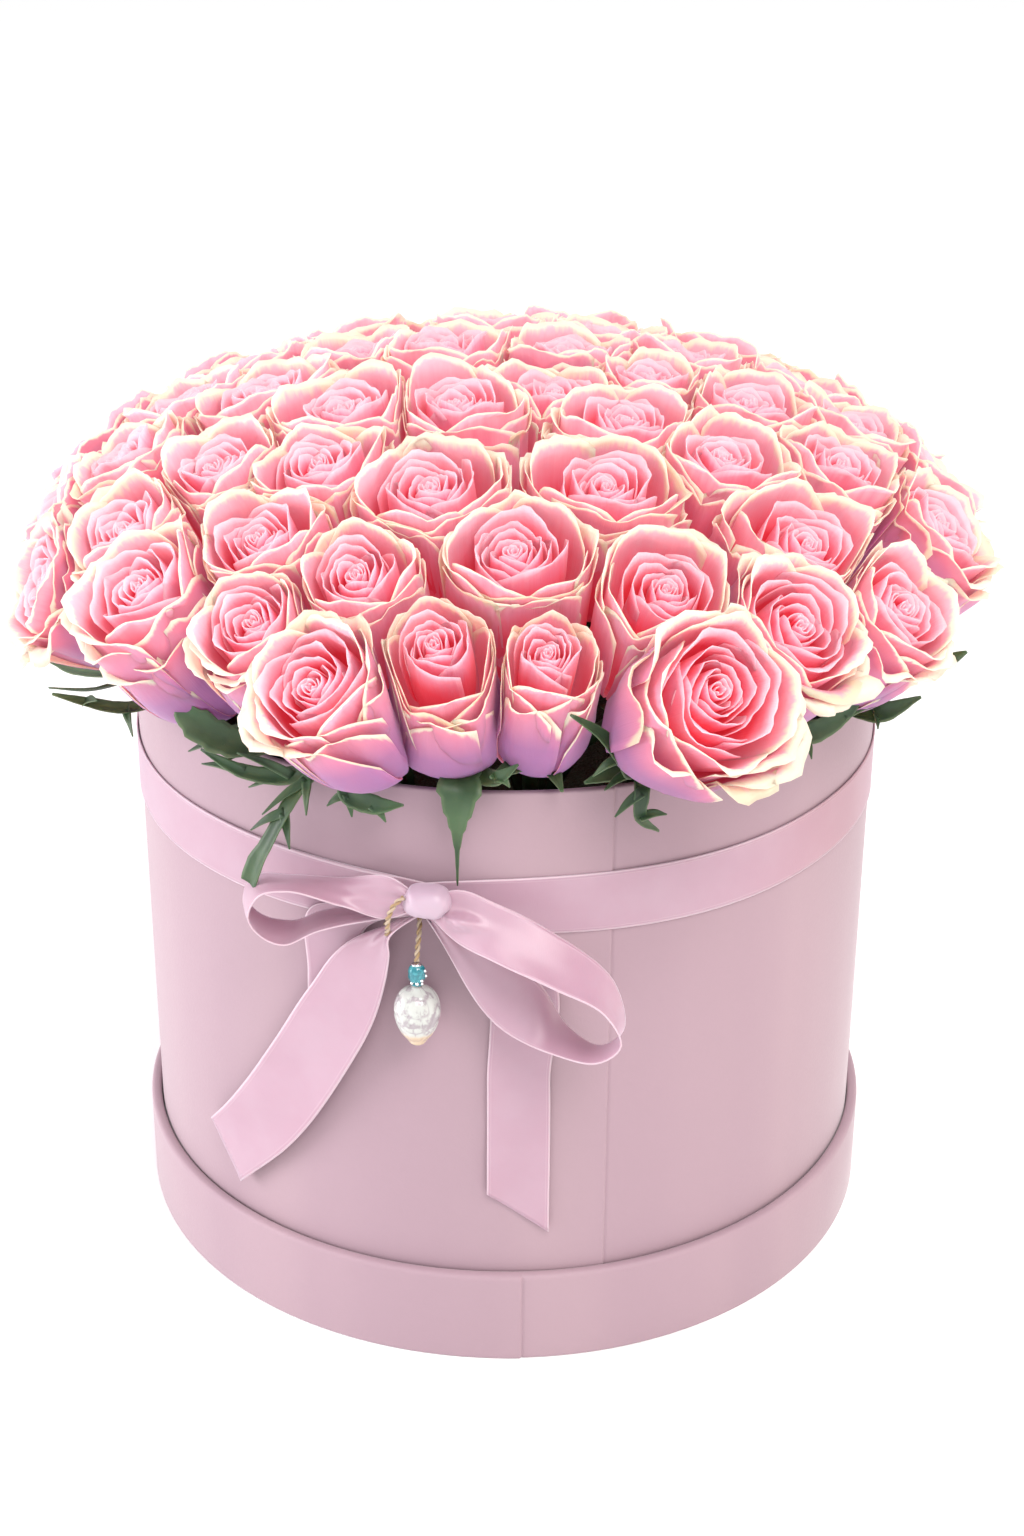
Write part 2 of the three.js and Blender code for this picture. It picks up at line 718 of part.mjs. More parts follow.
function leafBlades(rose, leaves) {
  const blades = [];
  leaves.forEach(({ route, widths, lobes = [] }) => {
    const root = rose.seat.clone().addScaledVector(rose.axis, -LEAF_ROOT_DEPTH);
    const path = [root, ...route.map(([azimuth, reach, height]) => polar(azimuth, reach, height))];
    const end = path[path.length - 1];
    const facing = new THREE.Vector3(end.x, end.y, 0).normalize().setZ(LEAF_FACING_UP);
    blades.push(blade(path, widths, facing));
    lobes.forEach(([step, azimuth, reach, height]) => {
      const from = path[step + 1];
      const tip = polar(azimuth, reach, height);
      blades.push(blade([from, tip], LOBE_WIDTHS, facing));
    });
  });
  return blades;
}

// Assembly

const group = new THREE.Group();

function addPiece(name, geometry, material) {
  const mesh = new THREE.Mesh(geometry, material());
  mesh.name = name;
  group.add(mesh);
}

addPiece('box_base', boxBase(), MATERIALS.wrap);
addPiece('box_wall', boxWall(), MATERIALS.wrap);
addPiece('liner', liner(), MATERIALS.liner);
addPiece('ribbon_band', ribbonBand(), MATERIALS.satin);
addPiece('ribbon_bow', ribbonBow(), MATERIALS.satin);
addPiece('pendant_cord', pendantCord(), MATERIALS.cord);
addPiece('pendant_bead', pendantPiece(BEAD, 8), MATERIALS.bead);
addPiece('pendant_drop', pendantPiece(DROP, 10), MATERIALS.pearl);

const bunches = [
  ...Object.entries(RIM_ROSES).map(([name, row]) => ({ name, roses: [roseFrame(row)] })),
  ...Object.entries(BUNCHES).map(([name, rows]) => ({ name, roses: rows.map(roseFrame) })),
];
const allRoses = bunches.flatMap(({ name, roses }) => roses.map((rose) => ({ name, rose })));

function bordersOf(name, rose) {
  return allRoses
    .filter((other) => other.rose !== rose)
    .filter((other) => other.rose.heart.distanceTo(rose.heart) < CELL_REACH)
    .map((other) => borderBetween(rose, other.rose, other.name === name));
}

const holes = [];
bunches.forEach(({ name, roses }) => {
  const single = roses.length === 1;
  const foot = roses.reduce((sum, { seat }) => sum.add(seat), new THREE.Vector3())
    .multiplyScalar(STEM_PULL / roses.length)
    .setZ(0);
  holes.push({ foot, ...(single ? SINGLE_HOLE : BUNCH_HOLE) });

  const blooms = roses.map((rose) => bloom(
    rose,
    bordersOf(name, rose),
    single ? RIM_PROFILE : INNER_PROFILE,
  ));
  addPiece(`${name}_bloom`, joined(blooms), MATERIALS.petal);

  const greens = roses.map((rose) => {
    const towards = rose.seat.clone().setZ(0).sub(foot).normalize();
    const place = single ? foot : foot.clone().addScaledVector(towards, STEM_SPREAD);
    return stem(rose, place, single ? SINGLE_STEM_SIDES : BUNCH_STEM_SIDES);
  });
  if (single) {
    greens.push(...shortSepals(roses[0]), ...leafBlades(roses[0], LEAVES[name]));
  }
  addPiece(`${name}_stem`, joined(greens), MATERIALS.green);
});
addPiece('floral_foam', foam(holes), MATERIALS.foam);

export default group;
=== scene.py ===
"""Rose box: a round dusty pink hat box with a dome of cut roses, a satin ribbon, a bow and a pendant.

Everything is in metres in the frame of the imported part: +Z up, the front of the box towards -Y. Sizes
in the tables are in millimetres, as on a working drawing, and become metres where the points are made.
"""

import logging
from dataclasses import dataclass, field
from enum import Enum
from typing import Sequence

import bpy
import numpy as np
from mathutils import Matrix


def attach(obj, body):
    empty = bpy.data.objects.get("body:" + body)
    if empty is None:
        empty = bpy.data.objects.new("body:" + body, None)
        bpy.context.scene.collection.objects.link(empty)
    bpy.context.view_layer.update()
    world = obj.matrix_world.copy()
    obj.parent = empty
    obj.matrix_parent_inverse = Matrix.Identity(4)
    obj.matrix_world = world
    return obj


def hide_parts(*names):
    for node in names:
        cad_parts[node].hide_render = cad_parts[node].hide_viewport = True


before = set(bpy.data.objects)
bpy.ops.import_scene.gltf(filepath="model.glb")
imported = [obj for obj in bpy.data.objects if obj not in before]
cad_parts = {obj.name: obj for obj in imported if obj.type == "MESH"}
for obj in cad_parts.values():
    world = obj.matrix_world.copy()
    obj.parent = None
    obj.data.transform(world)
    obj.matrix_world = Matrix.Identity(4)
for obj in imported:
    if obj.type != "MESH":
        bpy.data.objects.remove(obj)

Array = np.ndarray
Colour = tuple[float, float, float]

LOG = logging.getLogger("rose_box")
MM = 0.001
BODY = "root"
UV_PER_METRE = 50.0


# Geometry on grids


def unit(vectors: Array) -> Array:
    """Vectors of length one along the last axis."""
    return vectors / np.maximum(np.linalg.norm(vectors, axis=-1, keepdims=True), 1e-12)


def smoothstep(low: float, high: float, value: Array) -> Array:
    """0 below low, 1 above high, and a soft rise between them."""
    share = np.clip((value - low) / (high - low), 0.0, 1.0)
    return share * share * (3 - 2 * share)


def polar(azimuth: float, reach: float, height: float) -> Array:
    """Point in millimetres at an azimuth from the front in degrees, a reach from the axis and a height."""
    angle = np.radians(azimuth)
    return np.array([np.sin(angle) * reach, -np.cos(angle) * reach, height], dtype=float)


def smooth_path(points: Array, count: int) -> Array:
    """Evenly spaced points of a smooth curve through the given ones.

    Between two points the curve is the cubic that meets both with the slope of the chord of their
    neighbours, over the length of the chords.

    Args:
        points: K by D array, where D may hold several points side by side.
        count: number of points to return.

    Returns:
        A count by D array.
    """
    steps = np.linalg.norm(np.diff(points, axis=0), axis=1)
    knots = np.concatenate([[0.0], np.cumsum(np.maximum(steps, 1e-9))])
    slopes = np.gradient(points, knots, axis=0)
    where = np.linspace(0.0, knots[-1], count)
    span = np.clip(np.searchsorted(knots, where, side="right") - 1, 0, len(knots) - 2)
    width = (knots[span + 1] - knots[span])[:, None]
    t = (where[:, None] - knots[span][:, None]) / width
    from_start = (2 * t**3 - 3 * t**2 + 1) * points[span] + (t**3 - 2 * t**2 + t) * width * slopes[span]
    to_end = (3 * t**2 - 2 * t**3) * points[span + 1] + (t**3 - t**2) * width * slopes[span + 1]
    return from_start + to_end


def grid_normals(grid: Array) -> Array:
    """Unit normals of a grid of points, from the cross product of its two directions.

    Args:
        grid: array of shape (..., rows, columns, 3).

    Returns:
        An array of the same shape.
    """
    along = np.gradient(grid, axis=-3)
    across = np.gradient(grid, axis=-2)
    return unit(np.cross(across, along))


def round_faces(rows: int, columns: int, closed: bool = False) -> Array:
    """Faces of four on a grid whose columns run once round.

    Args:
        rows: rows of the grid.
        columns: points in each row.
        closed: whether the last row is joined to the first one too.

    Returns:
        Array of shape (m, 4) that indexes the grid's points, row by row.
    """
    index = np.arange(rows * columns).reshape(rows, columns)
    if closed:
        index = np.concatenate([index, index[:1]])
    right = np.roll(index, -1, axis=1)
    return np.stack([index[:-1], right[:-1], right[1:], index[1:]], axis=-1).reshape(-1, 4)


def capped_faces(rows: int, columns: int) -> Array:
    """Faces of a tube whose ends are closed by faces from one half of their ring across to the other.

    Args:
        rows: rings of the tube.
        columns: points in each ring, an even number.

    Returns:
        Array of shape (m, 4) that indexes the points, ring by ring.
    """
    ring = np.arange(columns)
    faces = [round_faces(rows, columns)]
    for end in (ring[::-1], ring + (rows - 1) * columns):
        left, right = end[:columns // 2], end[columns // 2:][::-1]
        faces.append(np.stack([left[:-1], left[1:], right[1:], right[:-1]], axis=-1))
    return np.concatenate(faces)


def turned_over(faces: Array) -> Array:
    """The same faces looking the other way, each begun at the same corner."""
    return np.roll(faces[:, ::-1], 1, axis=1)


@dataclass
class Surface:
    """Points, faces of four and named values at the points, gathered until they become one piece."""

    points: list[Array] = field(default_factory=list)
    faces: list[Array] = field(default_factory=list)
    values: list[dict[str, Array]] = field(default_factory=list)
    total: int = 0

    def add(self, points: Array, faces: Array, **values: Array) -> None:
        """Appends points with their faces and values.

        Args:
            points: array of shape (n, 3), in metres.
            faces: array of shape (m, 4) that indexes these points.
            values: for each name, one number or an array of n.
        """
        self.points.append(points)
        self.faces.append(faces + self.total)
        self.values.append(values)
        self.total += len(points)

    def add_shell(self, grid: Array, thickness: float | Array, **values: Array) -> None:
        """Adds a thin closed shell on each grid: two faces a thickness apart and a rim round them.

        The outer face is the grid moved half the thickness along its normals, the inner one is moved
        as far the other way and turned over. Its faces begin at the same corner as the outer ones, so
        that both are split into triangles along the same diagonal and stay apart where they bend.

        Args:
            grid: array of shape (sheets, rows, columns, 3).
            thickness: one number in metres, or an array that fits (sheets, rows, columns).
            values: arrays that fit (sheets, rows, columns). The value outside, 1 on the outer face and
                0 on the inner one, is added here.
        """
        sheets, rows, columns = grid.shape[:3]
        half = (np.broadcast_to(thickness, grid.shape[:3]) / 2)[..., None] * grid_normals(grid)
        both = np.stack([grid + half, grid - half], axis=1)
        index = np.arange(both[..., 0].size).reshape(sheets, 2, rows, columns)
        front = index[:, 0]
        back = index[:, 1]

        def quads(block: Array) -> Array:
            """Faces of a grid of indices, turned so that the normal is across times along."""
            corners = (block[:, :-1, :-1], block[:, :-1, 1:], block[:, 1:, 1:], block[:, 1:, :-1])
            return np.stack(corners, axis=-1).reshape(-1, 4)

        def border(block: Array) -> Array:
            """Indices once round the border of each grid."""
            sides = (block[:, 0, :-1], block[:, :-1, -1], block[:, -1, :0:-1], block[:, :0:-1, 0])
            return np.concatenate(sides, axis=1)

        ring = border(front)
        under = border(back)
        beside = (ring, under, np.roll(under, -1, axis=1), np.roll(ring, -1, axis=1))
        rim = np.stack(beside, axis=-1).reshape(-1, 4)
        faces = np.concatenate([quads(front), turned_over(quads(back)), rim])
        shape = (sheets, 2, rows, columns)
        spread = {
            name: np.broadcast_to(np.expand_dims(np.broadcast_to(value, grid.shape[:3]), 1), shape).ravel()
            for name, value in values.items()
        }
        outside = np.broadcast_to(np.array([1.0, 0.0])[None, :, None, None], shape).ravel()
        self.add(both.reshape(-1, 3), faces, outside=outside, **spread)

    def add_turned(self, profile: Array, angles: Array, swell: Array) -> None:
        """Adds a closed profile turned once round the Z axis, with a swell added to its radius.

        Args:
            profile: K by 2 array of radius and height that runs round the section, in metres.
            angles: azimuths in radians, in order, less than a full turn.
            swell: array of shape (K, angles), in metres.
        """
        radius = profile[:, :1] + swell
        height = np.broadcast_to(profile[:, 1:], radius.shape)
        grid = np.stack([radius * np.sin(angles), -radius * np.cos(angles), height], axis=-1)
        self.add(grid.reshape(-1, 3), round_faces(*radius.shape, closed=True))

    def add_tube(self, centres: Array, radii: Array, sides: int, start: Array, **values: float) -> None:
        """Adds a round closed tube of varying radius along a path.

        Each ring is a circle square to the path; its first direction is the given one, laid square to
        the path at every ring. The ends are closed by a ring of almost no radius.

        Args:
            centres: K by 3 path, in metres.
            radii: K radii, in metres.
            sides: points round each ring, an even number.
            start: direction that the rings are counted from.
            values: numbers for the whole tube.
        """
        end_share = 0.02
        along = unit(np.gradient(centres, axis=0))
        first = unit(start[None, :] - (along @ start)[:, None] * along)
        second = np.cross(along, first)
        angle = np.linspace(0, 2 * np.pi, sides, endpoint=False)
        centres = np.concatenate([centres[:1], centres, centres[-1:]])
        radii = np.concatenate([[radii[0] * end_share], radii, [radii[-1] * end_share]])
        first = np.concatenate([first[:1], first, first[-1:]])
        second = np.concatenate([second[:1], second, second[-1:]])
        rings = centres[:, None] + radii[:, None, None] * (
            np.cos(angle)[None, :, None] * first[:, None] + np.sin(angle)[None, :, None] * second[:, None]
        )
        self.add(rings.reshape(-1, 3), capped_faces(len(rings), sides), **values)

    @staticmethod
    def unwrap(mesh: bpy.types.Mesh) -> None:
        """Lays the values along and across as the mesh's UV map.

        Args:
            mesh: mesh that holds both values at its points.
        """
        count = len(mesh.vertices)
        flat = np.zeros((count, 2), dtype=np.float32)
        for column, (title, scale) in enumerate((("along", UV_PER_METRE), ("across", 1.0))):
            value = np.zeros(count, dtype=np.float32)
            mesh.attributes[title].data.foreach_get("value", value)
            flat[:, column] = value * scale
        corners = np.zeros(len(mesh.loops), dtype=np.int32)
        mesh.loops.foreach_get("vertex_index", corners)
        mesh.uv_layers.new(name="UVMap").data.foreach_set("uv", flat[corners].ravel())

    def piece(self, name: str, node: str, material: bpy.types.Material, slot: str) -> bpy.types.Object:
        """Makes the piece that stands for a CAD node and rides on the body.

        Args:
            name: name of the piece.
            node: CAD node that it replaces.
            material: finish of the piece.
            slot: slot of the record that the finish belongs to.

        Returns:
            The new object, at the origin.
        """
        mesh = bpy.data.meshes.new(name)
        points = np.concatenate(self.points)
        mesh.from_pydata(points.tolist(), [], np.concatenate(self.faces).tolist())
        mesh.polygons.foreach_set("use_smooth", np.ones(len(mesh.polygons), dtype=bool))
        for title in sorted({title for values in self.values for title in values}):
            parts = [
                np.broadcast_to(values.get(title, 0.0), (len(points),))
                for points, values in zip(self.points, self.values)
            ]
            held = mesh.attributes.new(title, "FLOAT", "POINT")
            held.data.foreach_set("value", np.concatenate(parts).astype(np.float32))
        if slot == "satin":
            self.unwrap(mesh)
        mesh.materials.append(material)
        mesh.update()
        obj = bpy.data.objects.new(name, mesh)
        bpy.context.scene.collection.objects.link(obj)
        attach(obj, BODY)
        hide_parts(node)
        LOG.info("%s: %d faces", name, len(mesh.polygons))
        return obj


# Finishes


class Paint:
    """A material with short ways to add nodes and join them."""

    def __init__(self, name: str) -> None:
        """Makes an empty material with one principled shader.

        Args:
            name: name of the material.
        """
        self.material = bpy.data.materials.new(name)
        self.material.use_nodes = True
        self.nodes = self.material.node_tree.nodes
        self.links = self.material.node_tree.links
        self.shader = self.nodes["Principled BSDF"]

    def put(self, socket: bpy.types.NodeSocket, value: object) -> None:
        """Links a socket to an input, or sets the input to a number or a colour.

        Args:
            socket: input of a node.
            value: output of another node, number, colour or vector.
        """
        if isinstance(value, bpy.types.NodeSocket):
            self.links.new(value, socket)
        elif isinstance(value, tuple) and len(value) == 3 and socket.type == "RGBA":
            socket.default_value = (*value, 1.0)
        else:
            socket.default_value = value

    def add(self, kind: str, inputs: dict[int | str, object], **settings: object) -> bpy.types.Node:
        """Adds a node.

        Args:
            kind: type of the node.
            inputs: what its inputs get, by name or number.
            settings: its own settings.

        Returns:
            The new node.
        """
        node = self.nodes.new(kind)
        for key, value in settings.items():
            setattr(node, key, value)
        for key, value in inputs.items():
            self.put(node.inputs[key], value)
        return node

    def value(self, name: str) -> bpy.types.NodeSocket:
        """The named value of the mesh's points."""
        return self.add("ShaderNodeAttribute", {}, attribute_name=name).outputs["Fac"]

    def place(self) -> bpy.types.NodeSocket:
        """The place of the shaded point on the object."""
        return self.add("ShaderNodeTexCoord", {}).outputs["Object"]

    def math(self, operation: str, *values: object) -> bpy.types.NodeSocket:
        """One sum on numbers."""
        return self.add("ShaderNodeMath", dict(enumerate(values)), operation=operation).outputs[0]

    def times(self, value: object, factor: object) -> bpy.types.NodeSocket:
        """One number times another."""
        return self.math("MULTIPLY", value, factor)

    def rise(self, value: object, low: float, high: float, start: float = 0.0, end: float = 1.0) -> object:
        """A soft rise of a value from start to end between low and high."""
        inputs = {0: value, 1: low, 2: high, 3: start, 4: end}
        return self.add("ShaderNodeMapRange", inputs, interpolation_type="SMOOTHSTEP").outputs[0]

    def noise(self, vector: object, scale: float, detail: float = 2.0, rough: float = 0.5) -> object:
        """Soft cloudy noise from 0 to 1."""
        inputs = {"Vector": vector, "Scale": scale, "Detail": detail, "Roughness": rough}
        return self.add("ShaderNodeTexNoise", inputs).outputs["Fac"]

    def mix(self, share: object, first: object, second: object, blend: str = "MIX") -> object:
        """A colour between two colours.

        Args:
            share: how much of the second colour there is.
            first: colour at a share of 0.
            second: colour at a share of 1.
            blend: how the second colour is laid on the first.

        Returns:
            The socket of the mixed colour.
        """
        node = self.add("ShaderNodeMix", {}, data_type="RGBA", blend_type=blend, clamp_factor=True)
        self.put(node.inputs[0], share)
        self.put(node.inputs[6], first)
        self.put(node.inputs[7], second)
        return node.outputs[2]

    def ramp(self, value: object, stops: Sequence[tuple[float, Colour]]) -> object:
        """A colour that runs through the stops.

        Args:
            value: number that the colour follows.
            stops: each a place between 0 and 1 and the colour there.

        Returns:
            The socket of the colour.
        """
        node = self.add("ShaderNodeValToRGB", {0: value})
        elements = node.color_ramp.elements
        while len(elements) < len(stops):
            elements.new(0.5)
        for element, (position, colour) in zip(elements, stops):
            element.position = position
            element.color = (*colour, 1.0)
        return node.outputs[0]

    def stretched(self, vector: object, scale: tuple[float, float, float]) -> object:
        """A vector scaled along each axis."""
        return self.add("ShaderNodeMapping", {"Vector": vector, "Scale": scale}).outputs[0]

    def joined(self, x: object, y: object, z: object) -> object:
        """A vector from three numbers."""
        return self.add("ShaderNodeCombineXYZ", {0: x, 1: y, 2: z}).outputs[0]

    def bump(self, height: object, strength: float, distance: float) -> None:
        """Raises the surface's look by a height, on top of what raised it before.

        Args:
            height: socket of the height, from 0 to 1.
            strength: how strongly it shows.
            distance: height in metres that 1 stands for.
        """
        inputs = {"Height": height, "Strength": strength, "Distance": distance}
        node = self.add("ShaderNodeBump", inputs)
        if self.shader.inputs["Normal"].links:
            self.links.new(self.shader.inputs["Normal"].links[0].from_socket, node.inputs["Normal"])
        self.put(self.shader.inputs["Normal"], node.outputs[0])

    def finish(self, **inputs: object) -> bpy.types.Material:
        """Sets the shader's own inputs.

        Args:
            inputs: their values by name, with _ for a space.

        Returns:
            The material.
        """
        for key, value in inputs.items():
            self.put(self.shader.inputs[key.replace("_", " ")], value)
        return self.material


@dataclass(frozen=True)
class PetalFinish:
    """Petals: coral in the grooves, pale pink above, a cream lip, and lilac on the lower backs.

    The stops say how deep the five colours of the inside lie, and how high the three of the back. The
    painted glow is the strength of an emission in the petals' own colour, a painted glow that lightens
    the gaps between them.
    """

    groove: Colour = (0.88, 0.060, 0.115)
    inside: Colour = (0.91, 0.165, 0.245)
    face: Colour = (0.91, 0.265, 0.35)
    pale: Colour = (0.89, 0.34, 0.425)
    lip: Colour = (0.87, 0.38, 0.45)
    cream: Colour = (0.80, 0.62, 0.45)
    white: Colour = (0.86, 0.58, 0.57)
    beige: Colour = (0.62, 0.43, 0.26)
    lilac: Colour = (0.24, 0.105, 0.31)
    back: Colour = (0.36, 0.120, 0.28)
    back_top: Colour = (0.77, 0.190, 0.285)
    inner_stops: tuple[float, ...] = (0.0, 0.2, 0.46, 0.76, 1.0)
    back_stops: tuple[float, ...] = (0.14, 0.68, 0.95)
    cream_fade: tuple[float, float] = (1.35, 0.40)
    white_edge: float = 1.4
    painted_glow: float = 0.13

    def build(self) -> bpy.types.Material:
        """Makes the material from the values that every petal carries.

        Free is the distance in millimetres to the petal's free edge, and deep the same as a share of the
        way down to coral. Streaks that run along the petal make both uneven. The outer petals are lilac on
        the lower part of their backs, the inner ones coral. The lip of cream is as wide as the value
        cream, and here and there beige, and the very edge is white.

        Returns:
            The material.
        """
        paint = Paint("petal")
        free = paint.value("free")
        across = paint.value("across")
        outer = paint.value("outer")
        tone = paint.value("tone")
        height = paint.value("height")
        wide = paint.joined(paint.times(across, 6.0), paint.times(height, 1.5), paint.times(tone, 40.0))
        streaks = paint.noise(wide, 1.6, 3.0)
        deep = paint.math("MULTIPLY_ADD", paint.math("SUBTRACT", streaks, 0.5), 0.35, paint.value("deep"))
        insides = (self.lip, self.pale, self.face, self.inside, self.groove)
        inner = paint.ramp(deep, list(zip(self.inner_stops, insides)))
        coral = paint.ramp(deep, [(0.0, self.pale), (0.3, self.back_top), (0.9, self.groove)])
        backs = (self.lilac, self.back, self.back_top)
        lilac = paint.ramp(height, list(zip(self.back_stops, backs)))
        outside = paint.mix(paint.rise(outer, 0.40, 0.95), coral, lilac)
        colour = paint.mix(paint.value("outside"), inner, outside)
        width = paint.times(paint.value("cream"), paint.rise(streaks, 0.2, 0.8, 0.6, 1.4))
        width = paint.times(width, paint.rise(paint.value("outside"), 0.0, 1.0, 1.0, 0.3))
        border = paint.rise(paint.math("DIVIDE", free, width), *self.cream_fade)
        border = paint.times(border, paint.rise(paint.value("cream"), 0.2, 2.0))
        pale = paint.mix(paint.value("beige"), self.cream, self.beige)
        colour = paint.mix(border, colour, pale)
        colour = paint.mix(paint.rise(free, self.white_edge, 0.0, 0.0, 0.08), colour, self.white)
        shade = paint.rise(tone, 0.0, 1.0, 0.90, 1.0)
        colour = paint.mix(1.0, colour, paint.joined(shade, shade, shade), "MULTIPLY")
        narrow = paint.joined(paint.times(across, 26.0), paint.times(height, 2.4), tone)
        paint.bump(paint.noise(narrow, 1.5, 4.0), 0.2, 0.0005)
        return paint.finish(
            Base_Color=colour,
            Roughness=0.5,
            Subsurface_Weight=0.6,
            Subsurface_Radius=(1.0, 0.32, 0.30),
            Subsurface_Scale=0.006,
            Sheen_Weight=0.12,
            # Painted glow: the petals emit their own colour, which lightens the gaps between them
            Emission_Color=colour,
            Emission_Strength=self.painted_glow,
        )


@dataclass(frozen=True)
class WrapFinish:
    """Matte covering of the box with a fine grain and faint upright streaks of painted highlight."""

    colour: Colour = (0.335, 0.226, 0.268)
    painted_highlight_streak: Colour = (0.370, 0.255, 0.292)
    shade: Colour = (0.28, 0.185, 0.222)
    fleck: Colour = (0.46, 0.36, 0.39)
    grain: float = 900.0

    def build(self) -> bpy.types.Material:
        """Makes the material on the object's own coordinates.

        Returns:
            The material.
        """
        paint = Paint("wrap")
        place = paint.place()
        # Painted highlight: faint upright streaks lighten the covering
        upright = paint.noise(paint.stretched(place, (1.0, 1.0, 0.04)), 16.0, 2.0)
        cloud = paint.noise(place, 24.0, 4.0)
        colour = paint.mix(paint.rise(upright, 0.35, 0.7), self.colour, self.painted_highlight_streak)
        colour = paint.mix(paint.times(cloud, 0.12), colour, self.shade)
        fine = paint.noise(place, self.grain, 3.0, 0.6)
        colour = paint.mix(paint.times(fine, 0.10), colour, self.fleck)
        paint.bump(fine, 0.16, 0.0004)
        paint.bump(paint.noise(place, 160.0, 3.0), 0.05, 0.0006)
        rough = paint.rise(fine, 0.2, 0.8, 0.62, 0.78)
        return paint.finish(Base_Color=colour, Roughness=rough, Sheen_Weight=0.35, Sheen_Roughness=0.35)


@dataclass(frozen=True)
class SatinFinish:
    """Satin ribbon: fine crosswise weave, a soft gloss and bright selvedges.

    Threads are counted per metre, and the painted warm shade rises between two places to the right, in
    metres. A painted highlight lightens the knot.
    """

    colour: Colour = (0.40, 0.245, 0.312)
    bright: Colour = (0.46, 0.330, 0.400)
    selvedge: Colour = (0.62, 0.50, 0.55)
    painted_warm_shade: Colour = (0.34, 0.145, 0.165)
    # Paler lilac of the painted highlight on the knot
    taut: Colour = (0.50, 0.405, 0.49)
    threads: float = 3500.0
    warm_from: float = 0.065
    warm_to: float = 0.125

    def build(self) -> bpy.types.Material:
        """Makes the material from the values along (metres) and across (0 to 1) of the ribbon.

        The hem lies outside a fine line near each edge. Threads of the weave run across, clouds tint the
        satin, a painted warm shade darkens its right side, and a value on the knot lays a painted
        highlight on it.

        Returns:
            The material.
        """
        paint = Paint("satin")
        along = paint.value("along")
        across = paint.value("across")
        edge = paint.math("ABSOLUTE", paint.math("MULTIPLY_ADD", across, 2.0, -1.0))
        hem = paint.rise(edge, 0.935, 0.965)
        line = paint.times(paint.rise(edge, 0.86, 0.88), paint.rise(edge, 0.90, 0.88))
        place = paint.place()
        cloud = paint.noise(place, 45.0, 3.0)
        colour = paint.mix(paint.rise(cloud, 0.35, 0.75, 0.0, 0.35), self.colour, self.bright)
        along_threads = paint.times(along, self.threads)
        threads = paint.noise(paint.joined(along_threads, paint.times(across, 6.0), 0.0), 1.0, 2.0)
        colour = paint.mix(paint.times(threads, 0.16), colour, self.bright)
        colour = paint.mix(paint.times(hem, 0.6), colour, self.selvedge)
        colour = paint.mix(paint.times(line, 0.2), colour, self.selvedge)
        right = paint.add("ShaderNodeSeparateXYZ", {0: place}).outputs[0]
        # Painted warm shade: the satin turns darker and warmer towards the right side
        colour = paint.mix(paint.rise(right, self.warm_from, self.warm_to, 0.0, 0.55), colour, self.painted_warm_shade)
        # Painted highlight: the knot is laid over with a paler lilac
        colour = paint.mix(paint.times(paint.value("taut"), 0.6), colour, self.taut)
        ridge = paint.math("MULTIPLY_ADD", hem, 0.6, paint.times(threads, 0.35))
        paint.bump(paint.math("ADD", ridge, paint.times(line, 0.4)), 0.3, 0.0003)
        weft = paint.add("ShaderNodeTangent", {}, direction_type="UV_MAP", uv_map="UVMap").outputs[0]
        return paint.finish(
            Base_Color=colour,
            Roughness=0.40,
            Anisotropic=0.75,
            Tangent=weft,
            Subsurface_Weight=0.25,
            Subsurface_Radius=(1.0, 0.6, 0.65),
            Subsurface_Scale=0.0015,
            Sheen_Weight=0.35,
            Sheen_Roughness=0.35,
            Sheen_Tint=(0.95, 0.88, 1.0),
            Specular_IOR_Level=0.70,
        )


@dataclass(frozen=True)
class GreenFinish:
    """Stems, sepals and leaves: dark green with paler edges, fine relief and a waxy gloss."""

    dark: Colour = (0.010, 0.036, 0.012)
    light: Colour = (0.038, 0.095, 0.034)
    edge: Colour = (0.085, 0.16, 0.065)

    def build(self) -> bpy.types.Material:
        """Makes the material from the value across of each blade, from -1 to 1.

        Returns:
            The material.
        """
        paint = Paint("green")
        place = paint.place()
        cloud = paint.noise(place, 60.0, 4.0)
        colour = paint.mix(paint.rise(cloud, 0.3, 0.75), self.dark, self.light)
        across = paint.math("ABSOLUTE", paint.value("across"))
        colour = paint.mix(paint.rise(across, 0.75, 1.0, 0.0, 0.5), colour, self.edge)
        paint.bump(paint.noise(place, 420.0, 3.0), 0.25, 0.0005)
        return paint.finish(Base_Color=colour, Roughness=0.48, Subsurface_Weight=0.05)


@dataclass(frozen=True)
class FoamFinish:
    """Wet floral foam: very dark green and full of fine pores."""

    dark: Colour = (0.012, 0.030, 0.014)
    light: Colour = (0.030, 0.065, 0.030)

    def build(self) -> bpy.types.Material:
        """Makes the material on the object's own coordinates.

        Returns:
            The material.
        """
        paint = Paint("foam")
        place = paint.place()
        pores = paint.add("ShaderNodeTexVoronoi", {"Vector": place, "Scale": 700.0}).outputs["Distance"]
        colour = paint.mix(paint.noise(place, 90.0, 4.0), self.dark, self.light)
        paint.bump(pores, 0.8, 0.001)
        return paint.finish(Base_Color=colour, Roughness=0.9)


@dataclass(frozen=True)
class LinerFinish:
    """Thin grey film of the liner with faint creases."""

    colour: Colour = (0.10, 0.10, 0.09)
    crease: Colour = (0.22, 0.22, 0.20)

    def build(self) -> bpy.types.Material:
        """Makes the material on the object's own coordinates.

        Returns:
            The material.
        """
        paint = Paint("liner")
        place = paint.place()
        creases = paint.noise(place, 55.0, 5.0, 0.6)
        colour = paint.mix(paint.rise(creases, 0.3, 0.7, 0.0, 0.4), self.colour, self.crease)
        paint.bump(creases, 0.4, 0.002)
        return paint.finish(Base_Color=colour, Roughness=0.45)


